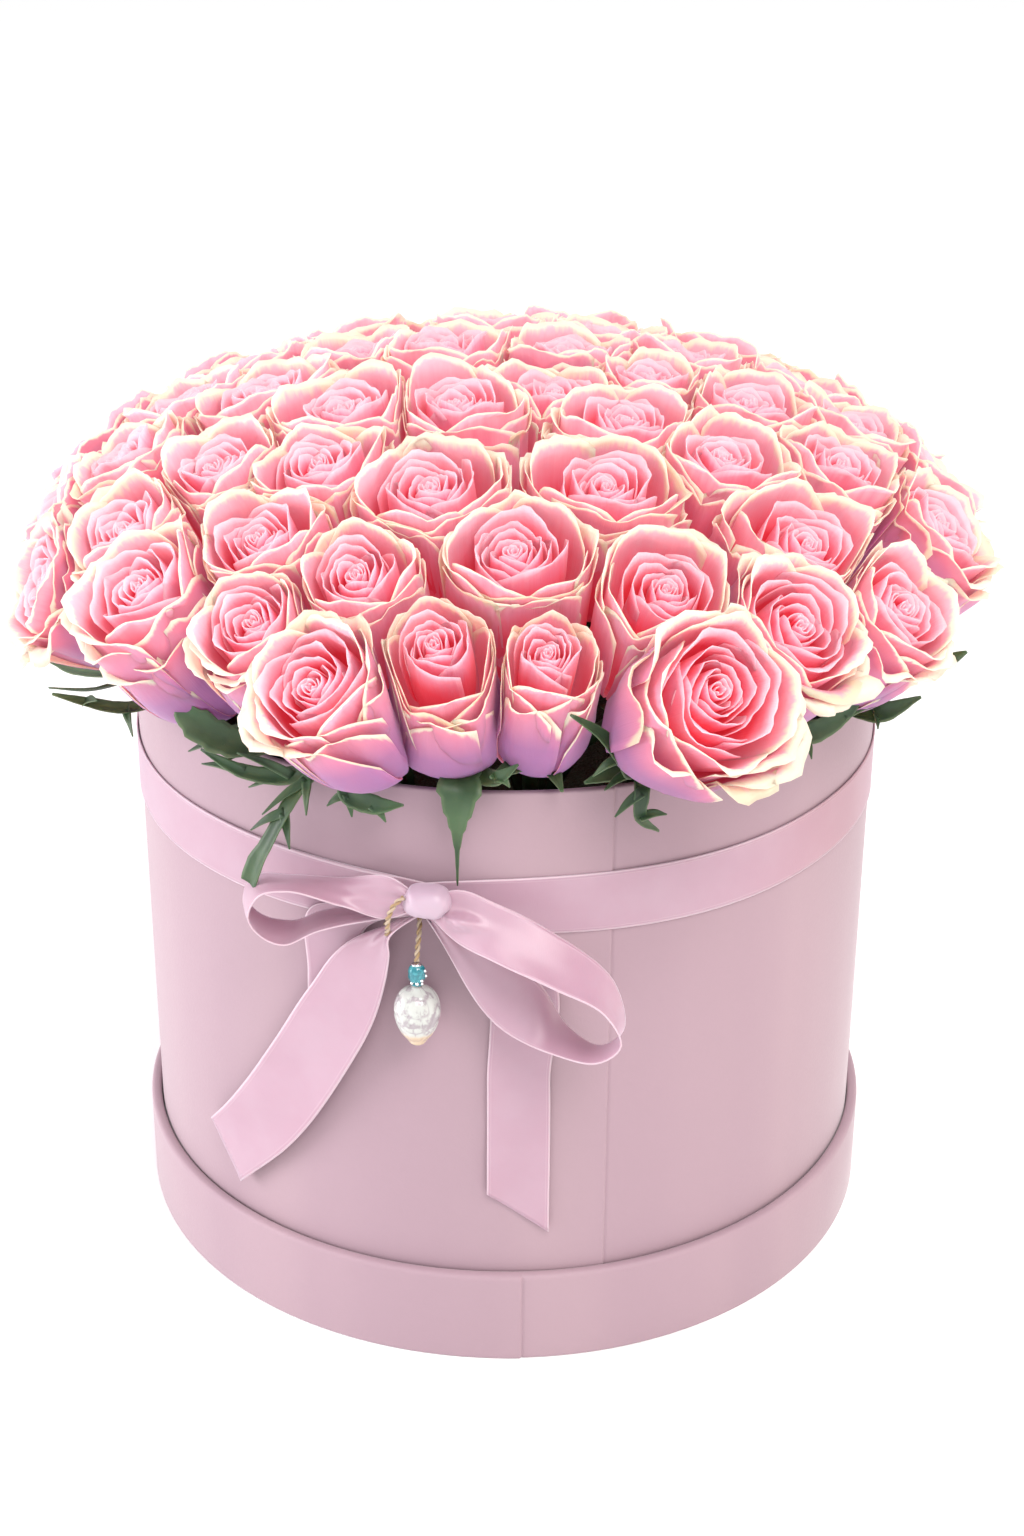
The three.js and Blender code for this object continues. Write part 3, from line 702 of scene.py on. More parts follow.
@dataclass(frozen=True)
class CordFinish:
    """Twisted thread in beige and gold."""

    beige: Colour = (0.42, 0.32, 0.22)
    gold: Colour = (0.30, 0.18, 0.07)
    fibre: Colour = (0.50, 0.42, 0.30)

    def build(self) -> bpy.types.Material:
        """Makes the material from the value that tells the strands apart.

        Returns:
            The material.
        """
        paint = Paint("cord")
        fibres = paint.noise(paint.place(), 2400.0, 2.0)
        colour = paint.mix(paint.value("strand"), self.beige, self.gold)
        colour = paint.mix(paint.times(fibres, 0.3), colour, self.fibre)
        paint.bump(fibres, 0.4, 0.0002)
        return paint.finish(Base_Color=colour, Roughness=0.5, Metallic=0.15, Sheen_Weight=0.3)


@dataclass(frozen=True)
class BeadFinish:
    """Turquoise glass paste with silver rings at its ends and small silver stones."""

    turquoise: Colour = (0.015, 0.17, 0.21)
    pale: Colour = (0.04, 0.30, 0.34)
    silver: Colour = (0.80, 0.80, 0.82)

    def build(self) -> bpy.types.Material:
        """Makes the material from the value that marks the silver rings and stones.

        Returns:
            The material.
        """
        paint = Paint("bead")
        silver = paint.value("silver")
        cloud = paint.noise(paint.place(), 900.0, 3.0)
        blue = paint.mix(paint.rise(cloud, 0.4, 0.7), self.turquoise, self.pale)
        paint.bump(cloud, 0.1, 0.0002)
        return paint.finish(
            Base_Color=paint.mix(silver, blue, self.silver), Roughness=0.16, Metallic=silver, Coat_Weight=0.5
        )


@dataclass(frozen=True)
class PearlFinish:
    """Crumpled pearly white with a cream tip, rosy mottles, and painted rosy shade in the creases of its
    dents.
    """

    white: Colour = (0.49, 0.51, 0.48)
    cream: Colour = (0.56, 0.43, 0.27)
    mottle_and_dent_shade: Colour = (0.27, 0.22, 0.25)
    tip_from: float = 0.34
    tip_to: float = 0.26

    def build(self) -> bpy.types.Material:
        """Makes the material from the height on the drop and the depth of its dents.

        Returns:
            The material.
        """
        paint = Paint("pearl")
        dents = paint.value("dent")
        fine = paint.noise(paint.place(), 300.0, 3.0, 0.55)
        # Painted shade: the creases between the dents turn rosy grey
        colour = paint.mix(paint.rise(dents, 0.0, 0.45, 0.35, 1.0), self.mottle_and_dent_shade, self.white)
        colour = paint.mix(paint.rise(fine, 0.50, 0.36, 0.0, 0.75), colour, self.mottle_and_dent_shade)
        colour = paint.mix(paint.rise(paint.value("along"), self.tip_from, self.tip_to), colour, self.cream)
        paint.bump(fine, 0.35, 0.0008)
        return paint.finish(Base_Color=colour, Roughness=0.22, Coat_Weight=0.6, Sheen_Weight=0.2)


# Studio


@dataclass(frozen=True)
class Lamp:
    """One square soft light: its place and side in metres, its power in watts, and its colour."""

    name: str
    place: tuple[float, float, float]
    size: float
    power: float
    colour: Colour


@dataclass(frozen=True)
class Studio:
    """Camera at the photograph's viewing angle, pale floor and soft lights; lengths in metres."""

    camera_place: tuple[float, float, float] = (0.0, -0.82066, 0.55934)
    pitch: float = 0.4537
    yaw: float = 0.0027
    roll: float = 0.0055
    lens: float = 59.16
    sensor: float = 36.0
    nearest: float = 0.05
    farthest: float = 20.0
    floor_size: float = 6.0
    floor_pale: Colour = (0.95, 0.95, 0.95)
    floor_shade: Colour = (0.93, 0.93, 0.94)
    daylight: Colour = (1.0, 1.0, 1.0)
    daylight_strength: float = 1.0
    aim: tuple[float, float, float] = (0.0, 0.0, 0.18)
    lamps: tuple[Lamp, ...] = (
        Lamp("key", (0.45, -1.00, 1.55), 0.8, 23.0, (1.0, 0.96, 0.94)),
        Lamp("front", (0.0, -1.60, 0.70), 0.9, 1.5, (1.0, 0.96, 0.95)),
        Lamp("cool_side", (-1.35, -0.15, 0.40), 0.8, 15.0, (1.0, 0.965, 1.0)),
        Lamp("warm_side", (1.30, -0.45, 0.20), 0.7, 4.0, (1.0, 0.79, 0.60)),
    )

    def add_camera(self) -> None:
        """Makes the camera, pitched down, then turned by the yaw and the roll, and uses it."""
        forward = np.array([
            np.sin(self.yaw) * np.cos(self.pitch),
            np.cos(self.yaw) * np.cos(self.pitch),
            -np.sin(self.pitch),
        ])
        right = np.array([np.cos(self.yaw), -np.sin(self.yaw), 0.0])
        up = np.cross(right, forward)
        right, up = (
            np.cos(self.roll) * right + np.sin(self.roll) * up,
            -np.sin(self.roll) * right + np.cos(self.roll) * up,
        )
        data = bpy.data.cameras.new("camera")
        data.lens = self.lens
        data.sensor_width = self.sensor
        data.clip_start = self.nearest
        data.clip_end = self.farthest
        camera = bpy.data.objects.new("camera", data)
        bpy.context.scene.collection.objects.link(camera)
        turned = np.eye(4)
        turned[:3, :3] = np.stack([right, up, -forward], axis=1)
        turned[:3, 3] = self.camera_place
        camera.matrix_world = Matrix(turned.tolist())
        bpy.context.scene.camera = camera

    def add_lamp(self, lamp: Lamp) -> None:
        """Makes a soft light that points at the aim.

        Args:
            lamp: its sizes.
        """
        data = bpy.data.lights.new(lamp.name, "AREA")
        data.shape = "SQUARE"
        data.size = lamp.size
        data.energy = lamp.power
        data.color = lamp.colour
        light = bpy.data.objects.new(lamp.name, data)
        bpy.context.scene.collection.objects.link(light)
        place = np.array(lamp.place)
        back = unit(place - np.array(self.aim))
        right = unit(np.cross(np.array([0.0, 0.0, 1.0]), back))
        turned = np.eye(4)
        turned[:3, :3] = np.stack([right, np.cross(back, right), back], axis=1)
        turned[:3, 3] = place
        light.matrix_world = Matrix(turned.tolist())

    def add_floor(self) -> None:
        """Makes the pale floor, a square round the origin."""
        half = self.floor_size / 2
        mesh = bpy.data.meshes.new("floor")
        corners = [(-half, -half, 0), (half, -half, 0), (half, half, 0), (-half, half, 0)]
        mesh.from_pydata(corners, [], [(0, 1, 2, 3)])
        paint = Paint("floor")
        cloud = paint.noise(paint.place(), 3.0, 2.0)
        colour = paint.mix(paint.times(cloud, 0.1), self.floor_pale, self.floor_shade)
        mesh.materials.append(paint.finish(Base_Color=colour, Roughness=0.8))
        floor = bpy.data.objects.new("floor", mesh)
        bpy.context.scene.collection.objects.link(floor)

    def build(self) -> None:
        """Makes the whole studio."""
        self.add_camera()
        self.add_floor()
        world = bpy.data.worlds.new("studio")
        world.use_nodes = True
        background = world.node_tree.nodes["Background"]
        background.inputs["Color"].default_value = (*self.daylight, 1.0)
        background.inputs["Strength"].default_value = self.daylight_strength
        scene = bpy.context.scene
        scene.world = world
        scene.view_settings.view_transform = "Standard"
        for lamp in self.lamps:
            self.add_lamp(lamp)


# Box


@dataclass
class HatBox:
    """Base tray with a collar, the wall that stands in it, and the fittings inside.

    Sizes are in millimetres and azimuths in degrees. The covers are set back a little to make up for their
    swells, and the depth of a seam's groove is a share of the seam's step.
    """

    radius: float = 130.0
    height: float = 214.0
    wall: float = 2.6
    collar_radius: float = 134.2
    collar_height: float = 34.4
    floor: float = 3.0
    gap: float = 0.3
    wall_set_back: float = 0.15
    collar_set_back: float = 0.1
    hole_radius: float = 0.5
    plug_radius: float = 0.8
    plug_gap: float = 0.02
    plug_sides: int = 12
    sides: int = 180
    wall_seam: float = 15.0
    collar_seam: float = 2.6
    seam_step: float = 0.45
    seam_run: float = 9.0
    groove_depth: float = 0.6
    groove_place: float = 0.1
    groove_width: float = 0.16
    seam_angles: tuple[float, ...] = (-1.2, -0.8, -0.5, -0.3, -0.15, -0.05, 0.0, 0.05, 0.15, 0.3, 0.6)

    def around(self, seam: float) -> Array:
        """Azimuths of a turned cover: even steps, and fine ones on both sides of the seam.

        Args:
            seam: azimuth of the seam in degrees.

        Returns:
            Azimuths in radians, in order.
        """
        even = np.linspace(-180, 180, self.sides, endpoint=False)
        fine = seam + np.array(self.seam_angles)
        return np.radians(np.unique(np.concatenate([even, fine])))

    def seam(self, angles: Array, seam: float) -> Array:
        """Step of the overlapping cover.

        It rises towards the seam as an exponential of the angle that is left, drops softly at the seam, and
        dips in a narrow groove, a bell curve, just past it.

        Args:
            angles: azimuths in radians.
            seam: azimuth of the seam in degrees.

        Returns:
            Swell in millimetres at each azimuth.
        """
        past = np.degrees(angles) - seam
        rising = np.exp(-np.abs(past) / self.seam_run) * (past < 0)
        drop = smoothstep(-0.15, 0.0, past)
        groove = -self.groove_depth * np.exp(-((past - self.groove_place) / self.groove_width) ** 2)
        return self.seam_step * (rising * (1 - drop) + groove)

    def rounded(self, corners: Sequence[tuple[float, float, float]], steps: int = 5) -> Array:
        """Profile with its corners rounded.

        Each corner is replaced by points of the parabola between the two places on its sides that lie a
        radius away from it.

        Args:
            corners: radius, height and rounding of each corner, in millimetres.
            steps: points at each rounded corner.

        Returns:
            K by 2 array of radius and height, in order.
        """
        table = np.array(corners)
        places = table[:, :2]
        before = unit(np.roll(places, 1, axis=0) - places)
        after = unit(np.roll(places, -1, axis=0) - places)
        start = places + before * table[:, 2:]
        end = places + after * table[:, 2:]
        t = np.linspace(0, 1, steps)[None, :, None]
        arcs = (1 - t) ** 2 * start[:, None] + 2 * t * (1 - t) * places[:, None] + t**2 * end[:, None]
        return arcs.reshape(-1, 2)

    def build_wall(self, material: bpy.types.Material) -> None:
        """Wall with a rounded rim, an upright seam and a faint unevenness, two slow waves round it.

        Args:
            material: finish of the covering.
        """
        inner = self.radius - self.wall
        bottom = self.floor + self.gap
        profile = self.rounded([
            (inner, bottom, 0.1), (self.radius, bottom, 0.1), (self.radius, self.height * 0.45, 0.1),
            (self.radius, self.height, 1.0), (inner, self.height, 1.0), (inner, self.height * 0.7, 0.1),
        ])
        angles = self.around(self.wall_seam)
        outside = (profile[:, :1] > self.radius - self.wall / 2) * 1.0
        uneven = 0.12 * np.sin(5 * angles + 1.0) + 0.08 * np.sin(11 * angles)
        swell = outside * (self.seam(angles, self.wall_seam) + uneven - self.wall_set_back)[None, :]
        surface = Surface()
        surface.add_turned(profile * MM, angles, swell * MM)
        surface.piece("wall_cover", "box_wall", material, "wrap")

    def build_base(self, material: bpy.types.Material) -> None:
        """Base tray: a floor and a collar with a soft upper edge and a seam of its own.

        Args:
            material: finish of the covering.
        """
        inner = self.radius + self.gap
        profile = self.rounded([
            (self.hole_radius, 0.0, 0.0), (self.collar_radius, 0.0, 1.2),
            (self.collar_radius, self.collar_height, 1.9), (inner, self.collar_height, 1.2),
            (inner, self.floor, 0.4), (self.hole_radius, self.floor, 0.0),
        ])
        angles = self.around(self.collar_seam)
        outside = smoothstep(self.radius + 2.5, self.collar_radius, profile[:, :1])
        swell = outside * (self.seam(angles, self.collar_seam) - self.collar_set_back)[None, :]
        surface = Surface()
        surface.add_turned(profile * MM, angles, swell * MM)
        surface.add(*self.floor_plug())
        surface.piece("base_cover", "box_base", material, "wrap")

    def floor_plug(self) -> tuple[Array, Array]:
        """Small closed disc that fills the hole at the middle of the tray's floor.

        Returns:
            Its points in metres and its faces.
        """
        turn = np.linspace(0, 2 * np.pi, self.plug_sides, endpoint=False)
        ring = self.plug_radius * np.stack([np.sin(turn), -np.cos(turn), np.zeros(self.plug_sides)], axis=1)
        low = ring + [0, 0, self.plug_gap]
        high = ring + [0, 0, self.floor - self.plug_gap]
        return np.concatenate([low, high]) * MM, capped_faces(2, self.plug_sides)

    def dress(self) -> None:
        """Builds the covers and gives the carried-over liner and foam their finishes."""
        wrap = WrapFinish().build()
        self.build_wall(wrap)
        self.build_base(wrap)
        for node, material in (("liner", LinerFinish().build()), ("floral_foam", FoamFinish().build())):
            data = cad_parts[node].data
            data.materials.clear()
            data.materials.append(material)


# Ribbon


@dataclass(frozen=True)
class RibbonLength:
    """One length of the tied ribbon, in millimetres.

    Each row holds a point of its front edge and one of its back edge, as across to the right of the knot's
    azimuth, height, and out from the wall. The camber is how far its middle stands proud, the pleats are
    the depth of its folds, with a share for each end, and the dimple is how deep it is pressed in.
    """

    name: str
    rows: tuple
    width: float
    camber: float
    pleats: float
    pleated_ends: tuple[float, float] = (1.0, 0.0)
    dimple: float = 0.0


# Rows of the loops and tails, from the knot outwards, and of a loop back to the knot
LEFT_LOOP = (
    ((0, 178, 11), (0, 181, 9)),
    ((-9.9, 173.5, 11), (-9.2, 186.6, 8)),
    ((-24, 178, 14), (-26, 182.5, 4)),
    ((-40, 184, 19), (-43, 180.5, 2)),
    ((-49, 181, 20), (-55, 179, 2)),
    ((-52, 174, 20), (-58.5, 173, 3)),
    ((-48.5, 166, 18), (-53, 165, 2)),
    ((-42, 163.4, 17), (-44, 163, 0)),
    ((-33, 167, 13), (-34, 168, 1)),
    ((-2, 175, 9.5), (-2, 177, 7)),
)
RIGHT_LOOP = (
    ((2, 178, 11), (2, 181, 8.5)),
    ((11.6, 170, 14), (12, 184.5, 8)),
    ((26.7, 166.7, 20), (24.2, 180.9, 8)),
    ((43.9, 162.5, 24), (39.5, 174.7, 9)),
    ((61.6, 155.6, 26), (61.8, 159, 11)),
    ((66, 144, 24.5), (65, 142, 10)),
    ((57.4, 134.1, 20), (57, 133, 7)),
    ((42.6, 133.1, 15), (46, 136.5, 3)),
    ((28.6, 136, 11), (38, 149, 2)),
    ((2, 173, 8), (4, 175.5, 6)),
)
LEFT_TAIL = (
    ((-1, 176, 8), (0, 175, 9.5)),
    ((-12, 168, 5.5), (-9.0, 167.5, 12.6)),
    ((-21.9, 161.8, 4.2), (-9.4, 160.5, 11.5)),
    ((-39.5, 138.2, -0.4), (-16, 133.2, 6.6)),
    ((-52.6, 114.8, -5.7), (-26.8, 110.1, 3.8)),
    ((-73.7, 79.7, -18.1), (-51.1, 70.4, -5.6)),
    ((-83.2, 66.6, -24.9), (-70.6, 47.7, -16.1)),
)
RIGHT_TAIL = (
    ((2, 176, 7.5), (5, 177, 6)),
    ((14, 160, 2.2), (22, 167, 1.6)),
    ((19.2, 148, 0.1), (38, 153, -4)),
    ((19.5, 110, 0.1), (39.5, 110, -4.2)),
    ((19.5, 66.3, 0.2), (39.7, 50.9, -4.2)),
)
UNDER_TAIL = (
    ((1, 176, 9), (0, 178, 9)),
    ((-14, 168, 2.6), (-16, 172, 2.4)),
    ((-21, 160, 0.4), (-38, 167, -3.6)),
    ((-20, 138, 0.6), (-40.5, 142, -4.4)),
    ((-20, 126, 0.6), (-40.5, 114, -4.4)),
)


@dataclass
class Ribbon:
    """Satin ribbon: the band round the wall, and the bow with its knot, loops and tails.

    Sizes are in millimetres and azimuths in degrees. Folds and pleats reach as far as they take to fade
    to about a third.
    """

    wall_radius: float = 130.0
    gap: float = 0.3
    thickness: float = 0.5
    bow_thickness: float = 0.4
    hem_thickness: float = 0.06
    band_bottom: float = 164.0
    band_top: float = 185.0
    band_rows: int = 17
    band_columns: int = 150
    band_fine: tuple[float, float, float] = (-42.0, 16.0, 0.5)
    fold_depth: float = 2.6
    fold_waves: float = 8.0
    fold_reach: tuple[float, float] = (34.0, 22.0)
    draw_share: float = 0.5
    draw_reach: float = 18.0
    draw_drop: float = 2.0
    length_rows: int = 72
    length_columns: int = 19
    pleat_waves: float = 2.6
    pleat_reach: float = 11.0
    ripple_depth: float = 0.22
    ripple_length: float = 7.0
    dimple_place: tuple[float, float] = (12.5, 0.42)
    dimple_size: tuple[float, float] = (4.5, 0.12)
    dimple_slant: float = 0.012
    knot_rows: int = 27
    knot_columns: int = 48
    knot_roundness: float = 0.8
    rib_depth: float = 0.045
    knot_azimuth: float = -11.0
    knot_centre: tuple[float, float, float] = (2.6, 180.6, 10.0)
    knot_size: tuple[float, float, float] = (7.3, 5.1, 5.8)
    lengths: tuple[RibbonLength, ...] = (
        RibbonLength("left_loop", LEFT_LOOP, 19.0, 0.8, 0.9, (1.0, 1.0)),
        RibbonLength("right_loop", RIGHT_LOOP, 19.0, 0.8, 0.5, (1.0, 1.0), 5.5),
        RibbonLength("left_tail", LEFT_TAIL, 22.0, 0.3, 0.9),
        RibbonLength("right_tail", RIGHT_TAIL, 20.0, 0.3, 0.9),
        RibbonLength("under_tail", UNDER_TAIL, 20.0, 0.2, 0.6),
    )

    def by_knot(self, places: Array) -> Array:
        """Points near the knot, in metres.

        Args:
            places: array whose last axis holds across to the right, height, and out from the wall.

        Returns:
            Points in the frame of the part, in the same shape.
        """
        right = polar(self.knot_azimuth + 90, 1, 0)
        out = polar(self.knot_azimuth, 1, 0)
        up = np.array([0.0, 0.0, 1.0])
        across, height, off = np.moveaxis(np.asarray(places, dtype=float), -1, 0)
        return MM * (
            across[..., None] * right + height[..., None] * up + (self.wall_radius + off)[..., None] * out
        )

    def build_band(self, material: bpy.types.Material) -> None:
        """Band round the wall, pulled into small folds on both sides of the knot.

        The folds are ridges that fan out from the knot: a wave of the direction from the knot, which
        fades with the distance from it. The band is also drawn together towards the knot.

        Args:
            material: satin.
        """
        even = np.linspace(-180, 180, self.band_columns, endpoint=False)
        turn = np.radians(np.unique(np.concatenate([even, np.arange(*self.band_fine)])))
        height = np.linspace(self.band_bottom, self.band_top, self.band_rows)
        away = (turn[None, :] - np.radians(self.knot_azimuth)) * self.wall_radius
        drawn_in = self.draw_share * np.exp(-np.abs(away) / self.draw_reach)
        middle = self.knot_centre[1] - self.draw_drop
        z = height[:, None] + (middle - height[:, None]) * drawn_in
        rise = z - middle
        direction = np.arctan2(rise, np.abs(away) + 4.0)
        reach = np.where(away < 0, *self.fold_reach)
        fade = np.exp(-np.abs(away) / reach) * smoothstep(7.0, 20.0, np.abs(away))
        ridges = 0.5 + 0.5 * np.cos(self.fold_waves * direction + 1.3 * np.sign(away))
        folds = self.fold_depth * fade * ridges**1.5
        edge = np.abs(2 * (height[:, None] - self.band_bottom) / (self.band_top - self.band_bottom) - 1)
        selvedge = self.hem_thickness * smoothstep(0.90, 0.96, edge)
        sway = 0.25 * np.sin(7 * turn + 0.6) * (2 * edge - 1)
        outer = self.wall_radius + self.gap + self.thickness
        inner = np.full_like(z, self.wall_radius + self.gap)
        profile = np.concatenate([outer + folds + selvedge, inner[::-1]])
        both = np.concatenate([z + sway, (z + sway)[::-1]])
        grid = MM * np.stack([profile * np.sin(turn), -profile * np.cos(turn), both], axis=-1)
        count, columns = grid.shape[:2]
        share = np.concatenate([np.linspace(0, 1, self.band_rows), np.linspace(1, 0, self.band_rows)])
        surface = Surface()
        surface.add(
            grid.reshape(-1, 3),
            round_faces(count, columns, closed=True),
            along=np.broadcast_to(turn * self.wall_radius * MM, (count, columns)).ravel(),
            across=np.repeat(share, columns),
        )
        band = surface.piece("band", "ribbon_band", material, "satin")

    def build_length(self, ribbon: RibbonLength, material: bpy.types.Material) -> None:
        """One loop or tail: a strip between its two edges, cambered, with pleats at the knot.

        The middle of the strip stands proud of the straight line between its edges by a parabola, and
        the pleats are a wave across the strip that fades with the distance from the pleated ends. Fine
        ripples run slantwise, and a dimple is pressed in as a slanted bell curve near the knot.

        Args:
            ribbon: its rows and sizes.
            material: satin.
        """
        table = np.array(ribbon.rows, dtype=float).reshape(len(ribbon.rows), 6)
        path = smooth_path(table, self.length_rows)
        front = path[:, None, :3]
        back = path[:, None, 3:]
        share = np.linspace(0, 1, self.length_columns)[None, :, None]
        flat = self.by_knot(front + (back - front) * share)
        normals = grid_normals(flat[None])[0]
        middle = flat[:, self.length_columns // 2]
        walked = np.concatenate([[0.0], np.cumsum(np.linalg.norm(np.diff(middle, axis=0), axis=1))])
        to_start = walked[:, None]
        to_end = walked[-1] - to_start
        pleat_reach = self.pleat_reach * MM
        fade = ribbon.pleated_ends[0] * np.exp(-to_start / pleat_reach)
        fade = fade + ribbon.pleated_ends[1] * np.exp(-to_end / pleat_reach)
        t = share[..., 0]
        pleats = ribbon.pleats * MM * fade * np.cos(2 * np.pi * self.pleat_waves * t + 0.8)
        camber = ribbon.camber * MM * 4 * t * (1 - t) * (1 - fade)
        ripple = self.ripple_depth * MM * np.sin(to_start / (self.ripple_length * MM) + 5 * t) * (1 - t)
        run = to_start / MM - self.dimple_place[0]
        aside = t - self.dimple_place[1] - self.dimple_slant * run
        hollow = np.exp(-((run / self.dimple_size[0]) ** 2) - (aside / self.dimple_size[1]) ** 2)
        relief = ripple - ribbon.dimple * MM * hollow
        grid = flat + (pleats + camber + relief)[..., None] * normals
        hem = smoothstep(0.88, 0.96, np.abs(2 * t - 1))
        surface = Surface()
        surface.add_shell(
            grid[None],
            (self.bow_thickness + self.hem_thickness * hem)[None] * MM * np.ones((1, self.length_rows, 1)),
            along=to_start[None],
            across=t[None],
        )
        piece = surface.piece(ribbon.name, "ribbon_bow", material, "satin")

    @staticmethod
    def area(grid: Array) -> float:
        """Area of a grid of points, as the sum of the parallelogram at each of its faces.

        Args:
            grid: array of shape (rows, columns, 3), in metres.

        Returns:
            Square metres.
        """
        down = grid[1:, :-1] - grid[:-1, :-1]
        over = grid[:-1, 1:] - grid[:-1, :-1]
        return float(np.linalg.norm(np.cross(down, over), axis=-1).sum())

    def build_knot(self, material: bpy.types.Material) -> None:
        """Knot: a small rounded block whose ribs are the folds of the ribbon drawn over it.

        A ball is made a little square by a power of its coordinates, and raised by a wave that runs
        slantwise round it.

        Args:
            material: satin.
        """
        lat = np.linspace(-np.pi / 2, np.pi / 2, self.knot_rows)[:, None]
        lon = np.linspace(0, 2 * np.pi, self.knot_columns, endpoint=False)[None, :]
        upright = np.sin(lat) * np.ones_like(lon)
        ball = np.stack([np.cos(lat) * np.cos(lon), upright, np.cos(lat) * np.sin(lon)], axis=-1)
        block = np.sign(ball) * np.abs(ball) ** self.knot_roundness
        ribs = 1 + self.rib_depth * np.cos(6 * ball[..., 0] + 4.0 * ball[..., 1] + 0.6) * np.cos(lat)
        places = block * ribs[..., None] * np.array(self.knot_size) + np.array(self.knot_centre)
        points = self.by_knot(places).reshape(-1, 3)
        faces = turned_over(round_faces(self.knot_rows, self.knot_columns))
        along = (ball[..., 1] * 0.02).ravel()
        across = np.clip(0.5 + 0.4 * ball[..., 0], 0, 1).ravel()
        surface = Surface()
        # The knot's value lays a painted highlight on it
        surface.add(points, faces, along=along, across=across, taut=1.0)
        surface.piece("knot", "ribbon_bow", material, "satin")

    def dress(self) -> None:
        """Builds the knot, then everything that hangs from it, and the band."""
        satin = SatinFinish().build()
        self.build_knot(satin)
        for ribbon in self.lengths:
            self.build_length(ribbon, satin)
        self.build_band(satin)


# Pendant

# Places by the knot: across to the right, height, and out from the wall
CORD_ROUTE = (
    (-4.2, 182.5, 12.6),
    (-6.6, 180.6, 14.0),
    (-8.6, 176.5, 14.3),
    (-9.4, 172.6, 13.2),
    (-9.8, 169.4, 11.4),
    (-10.6, 166.6, 9.4),
    (-11.8, 164.8, 7.2),
    (-12.6, 164.2, 5.0),
    (-12.6, 165.6, 3.3),
    (-11.6, 168.6, 2.5),
    (-9.0, 172.5, 2.2),
    (-5.5, 175.5, 2.4),
    (-2.6, 175.2, 3.2),
    (-1.2, 172, 4.6),
    (-0.8, 167.5, 6.8),
    (-1.0, 162.5, 8.4),
    (-1.2, 158, 9),
)


